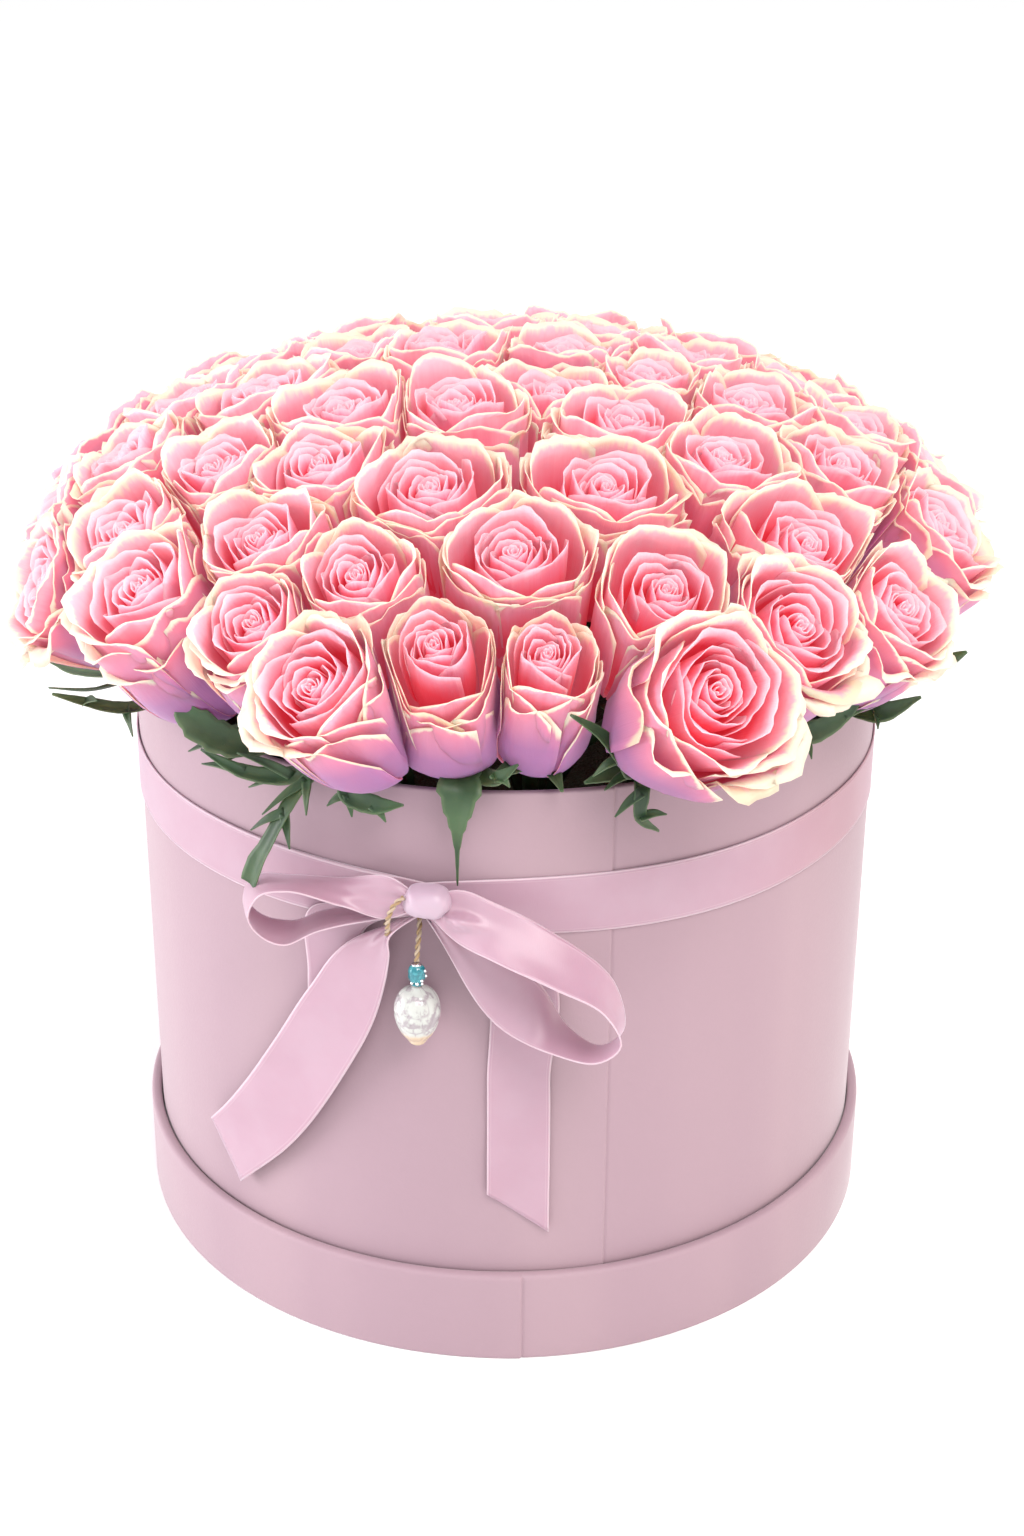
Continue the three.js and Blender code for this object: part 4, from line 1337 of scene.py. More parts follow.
@dataclass
class Pendant:
    """Cord caught at the knot, with a bead and a crumpled drop on it, in millimetres.

    The profiles hold radius and height, and the crystals azimuth in degrees and height.
    """

    ribbon: Ribbon
    cord_diameter: float = 1.8
    across: float = -1.2
    out: float = 9.0
    twists: float = 13.0
    bead_profile: tuple = (
        (0.05, 149.7), (1.7, 149.7), (2.1, 150.2), (1.7, 150.9), (2.4, 151.5), (2.65, 153.6),
        (2.4, 155.9), (1.7, 156.8), (1.6, 157.2), (1.1, 157.6), (0.05, 157.7),
    )
    drop_profile: tuple = (
        (0.05, 127.6), (1.4, 127.9), (2.7, 128.9), (3.6, 130.4), (5.1, 132.4), (6.5, 135.4), (7.3, 138.8),
        (7.3, 142.2), (6.4, 145.2), (4.8, 147.2), (2.7, 148.3), (1.5, 149.0), (0.05, 149.6),
    )
    crystals: tuple = (
        (15, 151.2), (62, 150.7), (48, 152.3), (88, 153.2), (80, 155.2), (-38, 150.9), (140, 151.5),
    )
    crystal_size: float = 0.62
    crystal_stand: float = 0.3
    cord_points: int = 150
    turned_rows: int = 64
    turned_columns: int = 72
    dent_seed: int = 7
    dent_waves: int = 9
    dent_depth: float = 0.06
    crease: float = 1.6
    bead_ribs: float = 0.03
    ring_from: float = 0.33

    def build_cord(self, material: bpy.types.Material) -> tuple[bpy.types.Object, Array]:
        """Twisted cord: two strands wind round the route, each a tube of half the cord's thickness.

        Args:
            material: finish of the cord.

        Returns:
            The piece, and the points of its route in metres.
        """
        route = smooth_path(self.ribbon.by_knot(np.array(CORD_ROUTE, dtype=float)), self.cord_points)
        along = unit(np.gradient(route, axis=0))
        guide = polar(self.ribbon.knot_azimuth + 90, 1, 0)
        first = unit(guide - (along @ guide)[:, None] * along)
        second = np.cross(along, first)
        turn = np.linspace(0, 2 * np.pi * self.twists, self.cord_points)
        quarter = self.cord_diameter / 4 * MM
        surface = Surface()
        for strand, phase in enumerate((0.0, np.pi)):
            angle = (turn + phase)[:, None]
            centres = route + quarter * (np.cos(angle) * first + np.sin(angle) * second)
            radii = np.full(self.cord_points, quarter * 1.06)
            surface.add_tube(centres, radii, 8, guide, strand=float(strand))
        return surface.piece("pendant_thread", "pendant_cord", material, "cord"), route

    def dents(self, turn: Array, share: Array) -> Array:
        """Dents of the drop: a sum of slanted waves round it, sharpened to creases.

        Args:
            turn: angle round the drop in radians.
            share: share of the way up.

        Returns:
            0 in the creases and 1 on the full parts.
        """
        random = np.random.default_rng(self.dent_seed)
        wave = np.zeros((share.size, turn.size))
        for _ in range(self.dent_waves):
            around = random.integers(2, 8)
            upwards = random.uniform(6, 20) * random.choice([-1, 1])
            wave = wave + np.sin(around * turn + upwards * share + random.uniform(0, 2 * np.pi))
        return np.clip(np.abs(wave) / self.crease, 0, 1)

    def build_turned(
        self, name: str, node: str, profile: tuple, material: bpy.types.Material, slot: str
    ) -> bpy.types.Object:
        """Bead or drop: its profile turned about the hanging line, with ribs or with dents.

        Args:
            name: name of the piece.
            node: CAD node that it replaces.
            profile: radius and height from below, in millimetres.
            material: finish of the piece.
            slot: slot of the record, which tells the bead from the drop.

        Returns:
            The piece.
        """
        table = np.array(profile, dtype=float)
        fine = smooth_path(table, self.turned_rows)
        fine[:, 0] = np.maximum(fine[:, 0], 0.02)
        turn = np.linspace(0, 2 * np.pi, self.turned_columns, endpoint=False)[None, :]
        share = np.linspace(0, 1, self.turned_rows)[:, None]
        if slot == "pearl":
            dent = self.dents(turn, share)
            size = 1 - self.dent_depth * (1 - dent) * np.sin(np.pi * share) ** 0.5
        else:
            dent = np.ones((self.turned_rows, self.turned_columns))
            size = 1 + self.bead_ribs * np.cos(8 * turn) * np.sin(np.pi * share)
        place = self.ribbon.by_knot(np.array([self.across, 0.0, self.out]))
        radius = fine[:, :1] * size
        height = np.broadcast_to(fine[:, 1:], radius.shape)
        grid = MM * np.stack([radius * np.cos(turn), radius * np.sin(turn), height], axis=-1) + place
        silver = np.broadcast_to((np.abs(share - 0.5) > self.ring_from) * 1.0, radius.shape)
        surface = Surface()
        surface.add(
            grid.reshape(-1, 3),
            capped_faces(self.turned_rows, self.turned_columns),
            along=np.broadcast_to(share, radius.shape).ravel(),
            dent=dent.ravel(),
            silver=silver.ravel(),
        )
        if slot == "bead":
            self.add_crystals(surface, table, place)
        return surface.piece(name, node, material, slot)

    def add_crystals(self, surface: Surface, profile: Array, place: Array) -> None:
        """Small silver balls set into the side of the bead.

        Args:
            surface: what gathers the bead.
            profile: radius and height of the bead in millimetres.
            place: point on the hanging line at height nought, in metres.
        """
        turn = np.linspace(-np.pi / 2, np.pi / 2, 7)
        for azimuth, height in self.crystals:
            radius = np.interp(height, profile[:, 1], profile[:, 0]) + self.crystal_stand
            centre = polar(azimuth + self.ribbon.knot_azimuth, radius, height) * MM + place
            centres = centre + np.outer(np.sin(turn), [0, 0, self.crystal_size * MM])
            radii = np.maximum(np.cos(turn), 0.05) * self.crystal_size * MM
            surface.add_tube(centres, radii, 8, np.array([1.0, 0.0, 0.0]), silver=1.0)

    def dress(self) -> None:
        cord, route = self.build_cord(CordFinish().build())
        bead = self.build_turned("bead", "pendant_bead", self.bead_profile, BeadFinish().build(), "bead")
        drop = self.build_turned("drop", "pendant_drop", self.drop_profile, PearlFinish().build(), "pearl")


# Roses


class Habit(Enum):
    """How far a rose has opened: shares of the curl of its lips and of the reach of its heart."""

    BUD = (0.45, 0.88)
    CUPPED = (0.85, 1.0)
    OPEN = (1.1, 1.06)


@dataclass(frozen=True)
class Layer:
    """One ring of petals, its sizes as shares of the girth across and of the bloom's length upwards.

    A petal stands on the root radius at the base height, bulges by the belly and starts to curl at the
    reach and the lip's height. The lip rolls outwards by the bend in degrees on a curl of the given radius.
    The spread is its width as a share of an even division of the ring. The drop is the share of the length
    that it loses towards its sides, the tilt is how far one side is tucked in, the flare how far the other
    one stands off, and the ruffle how far the lip waves. Depth is how far in millimetres the pale lip fades
    into coral, cream the width of its cream border, and outer how lilac its back is.
    """

    petals: int
    reach: float
    lip: float
    base: float
    root: float
    belly: float
    curl: float
    bend: float
    spread: float
    drop: float
    tilt: float
    flare: float
    ruffle: float
    depth: float
    cream: float
    outer: float
    rows: int
    columns: int

    @property
    def outermost(self) -> bool:
        """Whether the ring lies outside the heart."""
        return self.base < 0.1


# Rings from the outside to the middle, and the petals that hang low over them
LAYERS = (
    Layer(5, 0.86, 0.76, 0.0, 0.17, 0.1, 0.17, 125, 1.12, 0.12, 0.025, 0.12, 0.08, 22, 7.0, 1.0, 10, 14),
    Layer(4, 0.8, 0.86, 0.015, 0.16, 0.06, 0.14, 105, 1.24, 0.12, 0.025, 0.08, 0.06, 21, 5.5, 0.9, 10, 15),
    Layer(4, 0.735, 0.955, 0.03, 0.15, -0.02, 0.1, 78, 1.22, 0.14, 0.03, 0.05, 0.04, 20, 3.0, 0.65, 10, 15),
    Layer(3, 0.53, 0.93, 0.28, 0.36, 0.05, 0.07, 70, 1.35, 0.18, 0.07, 0.07, 0.04, 12, 0.05, 0.3, 8, 17),
    Layer(3, 0.42, 0.925, 0.36, 0.32, 0.05, 0.05, 62, 1.4, 0.2, 0.06, 0.05, 0.035, 9, 0.05, 0.15, 7, 16),
    Layer(3, 0.315, 0.92, 0.4, 0.25, 0.05, 0.035, 55, 1.4, 0.2, 0.05, 0.04, 0.025, 7, 0.05, 0.05, 6, 15),
    Layer(3, 0.22, 0.915, 0.43, 0.18, 0.04, 0.025, 48, 1.4, 0.18, 0.04, 0.03, 0.02, 5.5, 0.05, 0.0, 5, 13),
    Layer(2, 0.145, 0.91, 0.45, 0.12, 0.03, 0.018, 40, 1.35, 0.12, 0.025, 0.02, 0.012, 4.5, 0.05, 0.0, 5, 12),
)
DRAPE = Layer(1, 0.88, 0.62, 0.0, 0.18, 0.12, 0.16, 118, 1.0, 0.3, 0.0, 0.03, 0.05, 22, 7.0, 1.0, 12, 15)

# Azimuth, reach, height of the face, lean, girth and turn of each rose
RIM_ROSES = {
    "rim_rose_01": (-89, 158, 263, 53, 25, 10),
    "rim_rose_02": (-70, 166, 254, 66, 24, 40),
    "rim_rose_03": (-50, 154, 271, 46, 26, 0),
    "rim_rose_04": (-32, 149, 272, 42, 22, 70),
    "rim_rose_05": (-20, 168, 263, 58, 25, 20),
    "rim_rose_06": (-8, 150, 273, 42, 21, 50),
    "rim_rose_07": (5, 151, 272, 42, 18, 30),
    "rim_rose_08": (22, 172, 260, 62, 29, 15),
    "rim_rose_09": (35, 156, 272, 45, 26, 60),
    "rim_rose_10": (51, 162, 266, 52, 24, 0),
    "rim_rose_11": (74, 153, 271, 43, 27, 25),
    "rim_rose_12": (95, 152, 271, 43, 25, 45),
}
BUNCHES = {
    "rose_bunch_01": ((-63, 140, 280, 33, 23, 0), (-86, 133, 284, 33, 23, 30), (-62, 107, 296, 22, 23, 60)),
    "rose_bunch_02": ((-38, 125, 289, 27, 22, 15), (-21, 129, 286, 29, 21, 50), (-42, 90, 302, 17, 24, 80)),
    "rose_bunch_03": (
        (2, 119, 292, 24, 24, 0), (21, 138, 283, 32, 23, 40),
        (20, 89, 302, 16, 25, 70), (-15, 92, 302, 17, 25, 41),
    ),
    "rose_bunch_04": ((46, 131, 286, 29, 25, 20), (50, 93, 302, 17, 24, 55), (42, 58, 309, 10, 23, 45)),
    "rose_bunch_05": ((-60, 62, 309, 11, 25, 65), (-27, 36, 312, 6, 24, 10), (43, 21, 310, 4, 23, 30)),
    "rose_bunch_06": (
        (70, 118, 293, 24, 24, 5), (84, 84, 304, 15, 25, 25),
        (93, 121, 291, 25, 24, 0), (92, 50, 310, 9, 22, 35),
    ),
    "rose_bunch_07": (
        (112, 114, 293, 24, 24, 60), (114, 152, 271, 43, 27, 20),
        (124, 78, 305, 14, 24, 48), (149, 73, 306, 13, 25, 10),
    ),
    "rose_bunch_08": ((134, 151, 272, 42, 26, 15), (154, 152, 271, 43, 26, 45), (138, 119, 293, 24, 25, 75)),
    "rose_bunch_09": (
        (135, 31, 312, 6, 24, 5), (-178, 77, 306, 13, 24, 65),
        (-144, 37, 312, 7, 25, 76), (-128, 66, 307, 12, 23, 35),
    ),
    "rose_bunch_10": ((167, 118, 293, 24, 25, 5), (174, 151, 272, 42, 27, 35)),
    "rose_bunch_11": ((-167, 114, 294, 23, 25, 50), (-166, 152, 271, 43, 26, 0)),
    "rose_bunch_12": (
        (-146, 152, 271, 43, 26, 55), (-145, 108, 297, 22, 25, 25),
        (-122, 113, 294, 23, 25, 5),
    ),
    "rose_bunch_13": (
        (-126, 151, 272, 43, 26, 30), (-107, 152, 271, 43, 27, 20),
        (-104, 118, 292, 24, 24, 70), (-94, 84, 303, 16, 25, 40),
    ),
}


@dataclass(frozen=True)
class Manner:
    """How one rose has grown.

    The drapes are outer petals that hang low, each an angle in degrees and a share of the length. The hang
    is how far in millimetres the outer petals reach below the seat, full is a factor on their reach, and
    fall the share by which their lips stand lower. Upright is the angle of the side whose petals stay up,
    with the share of the bend that they lack. The axis stands more upright than the lean by the stand, and
    looks sideways by the look, both in degrees. Angles count from the rose's right side, as seen from
    outside the box, so that 90 is the side towards the top of the dome and -90 the one that faces down.
    """

    habit: Habit = Habit.CUPPED
    drapes: tuple = ()
    hang: float = 0.0
    full: float = 1.0
    upright: tuple[float, float] = (0.0, 0.0)
    fall: float = 0.0
    stand: float = 0.0
    look: float = 0.0


MANNERS = {
    "rim_rose_01": Manner(hang=3.0),
    "rim_rose_02": Manner(Habit.OPEN, ((-150, 0.66), (-60, 0.70)), 4.0),
    "rim_rose_03": Manner(
        Habit.CUPPED, ((-140, 0.60), (-85, 0.54), (-30, 0.60)), 11.0, 1.05, (-10, 0.7), stand=9, look=-4
    ),
    "rim_rose_04": Manner(Habit.CUPPED, ((-150, 0.64), (-85, 0.72)), 4.0, stand=4),
    "rim_rose_05": Manner(Habit.OPEN, ((-150, 0.74), (-90, 0.76)), 9.0, 0.94, (-25, 0.9), stand=14, look=-13),
    "rim_rose_06": Manner(Habit.BUD, ((-72, 0.60), (-160, 0.80)), 14.0, 1.18, fall=0.13, stand=7),
    "rim_rose_07": Manner(Habit.BUD, ((-20, 0.74),), 15.0, 1.08, fall=0.10, stand=9, look=3),
    "rim_rose_08": Manner(Habit.OPEN, ((-55, 0.74),), 6.0, 1.0, (-165, 0.85), stand=2, look=7),
    "rim_rose_09": Manner(Habit.OPEN, ((-40, 0.70), (-120, 0.74)), 3.0),
    "rim_rose_10": Manner(Habit.CUPPED, ((-60, 0.66),), 5.0, stand=4),
    "rim_rose_11": Manner(Habit.CUPPED, ((-80, 0.68),), 3.0),
    "rose_bunch_03": Manner(Habit.CUPPED, ((-90, 0.80),), full=1.20),
    "rose_bunch_04": Manner(full=1.30),
    "rose_bunch_05": Manner(full=1.36),
    "rose_bunch_09": Manner(full=1.30),
    "rose_bunch_13": Manner(full=1.26),
}
# Manner of the roses that have none of their own
INNER = Manner(full=1.18)


@dataclass(frozen=True)
class Leaf:
    """Green blade of a rim rose: its route, its widths from the root on, and its side lobes."""

    route: tuple
    widths: tuple
    lobes: tuple = ()


# Places are azimuth, reach and height; a lobe is the point of the route that it grows from, and its tip
LEAVES = {
    "rim_rose_01": (Leaf(((-88, 128, 223), (-86, 146, 222), (-85, 158, 227)), (5, 8, 6, 1)),),
    "rim_rose_02": (
        Leaf(((-70, 130, 219), (-79, 149, 209), (-86, 160, 206), (-88, 166, 205)), (3.5, 3.5, 4, 2.5, 1)),
        Leaf(((-66, 130, 221), (-64, 150, 219), (-63, 166, 224)), (4, 6, 5, 1)),
    ),
    "rim_rose_03": (
        Leaf(((-56, 130, 220), (-59, 144, 216), (-61, 156, 219), (-62, 166, 223)), (4, 6, 6, 4, 1),
             ((1, -55, 147, 211), (2, -57, 156, 224))),
    ),
    "rim_rose_04": (
        Leaf(((-34, 129, 220), (-39, 139, 221), (-42.5, 144, 227), (-44.5, 147, 235)), (4, 8, 12, 11, 2),
             ((1, -44, 144, 215), (0, -39, 141, 214))),
    ),
    "rim_rose_05": (
        Leaf(((-24, 132, 220), (-29, 136, 214), (-35.5, 140, 213), (-42, 143, 217)), (4, 5.5, 6.5, 5, 0.8),
             ((2, -42, 143, 212), (1, -35, 140, 208), (1, -36, 142, 220))),
        Leaf(((-26.5, 137, 214.5), (-28, 145, 206), (-29.5, 149, 196), (-31, 150, 188), (-32, 150.5, 181)),
             (3.5, 4.5, 5.5, 6, 7.5, 6.5),
             ((0, -30.5, 148, 205), (0, -24.5, 147, 208), (1, -26.5, 149, 196), (1, -32, 149, 199))),
        Leaf(((-20.5, 138, 213), (-17, 139.5, 211.5), (-12.8, 140, 213)), (3, 6, 6.5, 0.8),
             ((0, -19.5, 141, 207), (0, -23, 140.5, 209), (1, -15, 141, 207))),
    ),
    "rim_rose_06": (
        Leaf(((-6, 129, 221), (-5.8, 137, 218.5), (-6, 138.5, 211), (-6.2, 137, 199), (-6.3, 135, 184)),
             (5, 12, 15, 9, 2.4, 0.5)),
        Leaf(((-3, 131, 220), (-1, 138, 223), (1.5, 141, 229)), (4, 6, 5, 0.8), ((1, 0.5, 142, 222),)),
    ),
    "rim_rose_07": (
        Leaf(((2, 127, 223.5), (-2, 138, 223)), (4, 7, 1)),
        Leaf(((6, 128, 222.5), (7, 140, 219)), (4, 6, 1)),
    ),
    "rim_rose_08": (
        Leaf(((15, 132, 221.5), (10, 137, 220)), (4, 7, 1)),
        Leaf(((16, 137, 222), (13.5, 146, 232), (10.5, 151, 243), (7, 154, 251)), (3, 4.5, 5.5, 4, 0.8),
             ((1, 16, 149, 240), (1, 10, 149, 228), (0, 12, 143, 220))),
        Leaf(((18, 133, 218.5), (17, 141, 217), (17, 140, 208), (20, 138, 201)), (3, 5, 5, 4, 0.8),
             ((2, 20.5, 141, 208), (0, 22.5, 144, 217), (1, 13.5, 142, 210))),
        Leaf(((21.5, 134, 217.5), (24, 146, 219)), (4, 6, 1)),
    ),
    "rim_rose_09": (
        Leaf(((39, 128, 223), (42, 140, 222), (46, 147, 228), (48, 151, 235)), (4, 6, 8, 5, 0.8),
             ((1, 40, 148, 218), (2, 50, 152, 229))),
    ),
    "rim_rose_10": (
        Leaf(((52, 131, 222), (53, 147, 222), (57, 158, 227)), (4, 8, 8, 1), ((1, 49, 155, 223),)),
    ),
    "rim_rose_11": (
        Leaf(((69, 130, 223), (60, 150, 231), (58, 163, 239), (57, 172, 246)), (4, 6, 8, 6, 1)),
    ),
    "rim_rose_12": (Leaf(((96, 128, 223), (98, 146, 223), (99, 157, 228)), (4, 7, 6, 1)),),
}

# From a rose's seat to the top of its petals, in millimetres
BLOOM_LENGTH = 50.0


def rolled_path(walked: Array, cup: Array, curl: Array, radii: tuple, heights: tuple) -> tuple[Array, Array]:
    """Radius and height along a petal: a cubic up to its lip, then an arc that turns outwards.

    The cubic is the sum of its four points, each weighed by a product of powers of the share walked and of
    the share left. The arc starts in the direction from the third point to the fourth.

    Args:
        walked: way from the root along the petal.
        cup: length of the cubic.
        curl: radius of the arc.
        radii: radii of the four points.
        heights: heights of the four points.

    Returns:
        Both in the shape of walked.
    """
    t = np.clip(walked / cup, 0, 1)
    angle = np.clip(walked - cup, 0, None) / curl
    weights = ((1 - t) ** 3, 3 * t * (1 - t) ** 2, 3 * t**2 * (1 - t), t**3)
    radius = sum(weight * each for weight, each in zip(weights, radii))
    height = sum(weight * each for weight, each in zip(weights, heights))
    lean_r = radii[3] - radii[2]
    lean_z = heights[3] - heights[2]
    size = np.hypot(lean_r, lean_z)
    lean_r, lean_z = lean_r / size, lean_z / size
    radius = radius + curl * (np.sin(angle) * lean_r + (1 - np.cos(angle)) * lean_z)
    height = height + curl * (np.sin(angle) * lean_z - (1 - np.cos(angle)) * lean_r)
    return radius, height


@dataclass
class Rose:
    """One rose of the dome: where its face is, how it leans, and how far it has opened.

    Azimuth, lean and turn are in degrees, and reach, height and girth in millimetres. The gap is what
    stays free at a plane to a neighbour, and each further ring stays back from it by the spacing. The
    backs are fully lilac from the far end of the lilac reach on. Tip and midrib are each a height and a
    half width of the petal's middle line, as shares.
    """

    azimuth: float
    reach: float
    height: float
    lean: float
    girth: float
    turn: float
    manner: Manner
    seed: int

    gap: float = 0.12
    soft_reach: float = 6.0
    firm_seat: float = 0.35
    thickness: float = 0.45
    spacing: float = 0.5
    passes: int = 8
    lilac_reach: tuple[float, float] = (138.0, 150.0)
    ring_turn: float = 2.4
    jitter: float = 0.16
    row_crowding: float = 1.33
    tip: tuple[float, float] = (0.022, 0.15)
    midrib: tuple[float, float] = (0.010, 0.10)
    corner: float = 1.5
    foot_share: float = 0.92
    foot_depth: float = 16.0
    beige_chance: float = 0.16
    scroll_turns: float = 1.9
    scroll_rows: int = 5
    scroll_columns: int = 48
    scroll_thickness: float = 0.3

    def __post_init__(self) -> None:
        """Works out the rose's own frame: its axis, two directions across it, its seat and its heart."""
        lean = np.radians(self.lean)
        face = polar(self.azimuth, self.reach, self.height)
        self.heart = face - BLOOM_LENGTH / 4 * polar(self.azimuth, np.sin(lean), np.cos(lean))
        lean = np.radians(self.lean - self.manner.stand)
        way = self.azimuth + self.manner.look
        self.axis = polar(way, np.sin(lean), np.cos(lean))
        self.side = polar(way + 90, 1, 0)
        self.up = np.cross(self.axis, self.side)
        self.seat = self.heart - 0.75 * BLOOM_LENGTH * self.axis
        self.cool = 0.45 + 0.55 * float(smoothstep(*self.lilac_reach, np.float64(self.reach)))
        self.random = np.random.default_rng(self.seed)
        towards = self.random.uniform(0, 2 * np.pi)
        self.shift = self.random.uniform(0.03, 0.11) * self.girth
        self.shift_way = np.cos(towards) * self.side + np.sin(towards) * self.up

    def place(self, radius: Array, angle: Array, height: Array, off: Array) -> Array:
        """Points of the petals in metres.

        Args:
            radius: distance from the axis in millimetres.
            angle: angle about the axis in radians.
            height: height above the seat in millimetres.
            off: how far the ring's middle stands beside the axis at full height, in millimetres.

        Returns:
            Array of the broadcast shape and 3.
        """
        radius, angle, height, off = np.broadcast_arrays(radius, angle, height, off)
        across = np.cos(angle)[..., None] * self.side + np.sin(angle)[..., None] * self.up
        beside = (off * np.clip(height / BLOOM_LENGTH, 0, 1))[..., None] * self.shift_way
        return MM * (self.seat + radius[..., None] * across + height[..., None] * self.axis + beside)

    def petal_rings(self, surface: Surface, borders: Array) -> None:
        """Adds all rings of petals, from the draped ones to the heart.

        Args:
            surface: what gathers the petals.
            borders: planes to the neighbours, as rows of a normal and an offset, in metres.
        """
        start = np.radians(self.turn)
        if self.manner.drapes:
            angles, lips = np.array(self.manner.drapes, dtype=float).T
            self.petal_ring(surface, DRAPE, np.radians(angles), lips / DRAPE.lip, borders, 0.0)
        for index, layer in enumerate(LAYERS):
            start += self.ring_turn
            around = start + 2 * np.pi * np.arange(layer.petals) / layer.petals
            jitter = self.random.uniform(-self.jitter, self.jitter, layer.petals)
            lift = 1 - self.manner.fall * layer.outermost
            inset = self.spacing * index
            self.petal_ring(surface, layer, around + jitter, np.full(layer.petals, lift), borders, inset)
        self.scroll(surface, start + 1.0, borders, self.spacing * len(LAYERS))

    def petal_ring(
        self, surface: Surface, layer: Layer, middles: Array, lifts: Array, borders: Array, inset: float
    ) -> None:
        """Adds one ring of petals.

        Along its length a petal follows a cubic from its root to where its lip starts, and then an arc
        that turns outwards. Across its width it lies round the axis, with one side tucked under its
        neighbour and the other one flared off it. The path is shorter towards the sides, so that the
        petal is rounded, and the lip's radius and height waver by slow waves across it. The distance to
        the free edge is the smaller of those to the top and to the side, rounded where they are alike.

        Args:
            surface: what gathers the petals.
            layer: sizes of the ring.
            middles: angle of the middle of each petal in radians.
            lifts: share of the layer's lip height that each petal has.
            borders: planes to the neighbours.
            inset: how far the ring stays behind the outermost petals at a plane, in millimetres.
        """
        random = self.random
        girth = self.girth
        petals = len(middles)
        shape = (petals, 1, 1)
        curl_share, heart_share = self.manner.habit.value

        def varied(middle: float, share: float) -> Array:
            """One value a petal, within a share of the middle one."""
            return middle * (1 + share * random.uniform(-1, 1, shape))

        reach = varied(layer.reach, 0.02) * girth * (self.manner.full if layer.outermost else heart_share)
        lip = varied(layer.lip, 0.025) * BLOOM_LENGTH * lifts[:, None, None]
        curl = varied(layer.curl, 0.25) * girth
        belly = varied(layer.belly, 0.25) * girth
        root = layer.root * girth
        base = layer.base * BLOOM_LENGTH - (self.manner.hang if layer.outermost else 0.0)
        u = np.linspace(-1, 1, layer.columns)[None, None, :]
        even = np.linspace(0, 1, layer.rows)[None, :, None]
        v = np.sin(self.row_crowding * even) / np.sin(self.row_crowding)
        bend = np.radians(varied(layer.bend, 0.2)) * curl_share * (0.85 + 0.4 * np.abs(u) ** 1.6)
        if layer is not DRAPE and layer.outermost:
            side_angle, lacking = self.manner.upright
            away = (middles - np.radians(side_angle) + np.pi) % (2 * np.pi) - np.pi
            bend = bend * (1 - lacking * np.exp(-((away / 0.85) ** 2)))[:, None, None]

        rise = lip - base
        cup = np.hypot(reach - root, rise) * 1.1
        point = self.tip[0] * np.exp(-((u / self.tip[1]) ** 2))
        outline = 1 - varied(layer.drop, 0.3) * np.abs(u) ** 2.6 + point
        whole = (cup + curl * bend) * outline
        walked = v * whole
        radii = (root, root + (reach - root) * (0.78 + 2.0 * layer.belly), reach + belly, reach)
        heights = (base, base + 0.06 * rise, base + 0.58 * rise, lip)
        radius, height = rolled_path(walked, cup, curl, radii, heights)

        grown = walked / (cup + curl * bend)
        radius = radius + girth * layer.tilt * u * (0.3 + 0.7 * grown)
        radius = radius + girth * layer.flare * np.maximum(0, u) ** 3 * grown**2
        radius = radius - girth * self.midrib[0] * np.exp(-((u / self.midrib[1]) ** 2)) * grown
        phase = random.uniform(0, 2 * np.pi, shape)
        waves = random.uniform(0.9, 1.6, shape)
        strength = layer.ruffle * girth * grown**3
        radius = radius + strength * np.sin(np.pi * waves * u + phase)
        height = height + 0.8 * strength * np.cos(np.pi * (waves + 0.7) * u + 2 * phase)
        crimp = 0.30 * strength * grown**5 * np.sin(np.pi * (3.3 + waves) * u + 3 * phase)
        radius, height = radius + crimp, height + crimp

        half = np.pi / layer.petals * layer.spread if layer.petals > 1 else layer.spread
        turned = middles[:, None, None] + half * u * (1 - 0.10 * grown**2)
        off = (1 - reach / girth) * self.shift
        grid = self.place(radius, turned, height, off)
        side = (1 - np.abs(u)) * half * radius
        top = (1 - v) * whole
        side = side + self.foot_depth * np.clip(self.foot_share - grown, 0, None)
        free = -np.log(np.exp(-top / self.corner) + np.exp(-side / self.corner)) * self.corner
        free = np.clip(free, 0, None)
        beige = (random.uniform(0, 1, shape) < self.beige_chance) * random.uniform(0.25, 0.8, shape)
        surface.add_shell(
            self.crowded(grid, height, borders, inset),
            self.thickness * MM * (1 - 0.5 * grown),
            free=free,
            deep=free / layer.depth,
            across=u,
            height=grown,
            cream=varied(layer.cream, 0.35),
            outer=np.full(shape, layer.outer * self.cool),
            tone=random.uniform(0, 1, shape),
            beige=beige * (layer.outer > 0.8),
        )

    def scroll(self, surface: Surface, start: float, borders: Array, inset: float) -> None:
        """Adds the heart: one petal rolled up in a spiral whose radius grows evenly with its angle.

        Args:
            surface: what gathers the petals.
            start: angle in radians where the spiral starts.
            borders: planes to the neighbours.
            inset: how far it stays behind the outermost petals at a plane, in millimetres.
        """
        heart_share = self.manner.habit.value[1]
        u = np.linspace(0, 1, self.scroll_columns)[None, None, :]
        v = np.linspace(0, 1, self.scroll_rows)[None, :, None]
        angle = start + 2 * np.pi * self.scroll_turns * u + 0 * v
        radius = self.girth * heart_share * (0.022 + 0.075 * u) * (0.75 + 0.25 * np.sqrt(v) + 0.15 * v**4)
        wobble = 0.012 * np.sin(3.1 * angle) + 0.008 * np.sin(5.3 * angle + 1.0)
        height = BLOOM_LENGTH * (0.50 + (0.395 + 0.015 * u + wobble) * v)
        grid = self.place(radius, angle, height, self.shift * np.ones((1, 1, 1)))
        free = (1 - v) * 0.42 * BLOOM_LENGTH * np.ones_like(u)
        surface.add_shell(
            self.crowded(grid, height, borders, inset),
            self.scroll_thickness * MM,
            free=free,
            deep=free / 4.0,
            across=0.5,
            height=v,
            cream=0.4,
            outer=0.0,
            tone=self.random.uniform(0, 1, (1, 1, 1)),
            beige=0.0,
        )

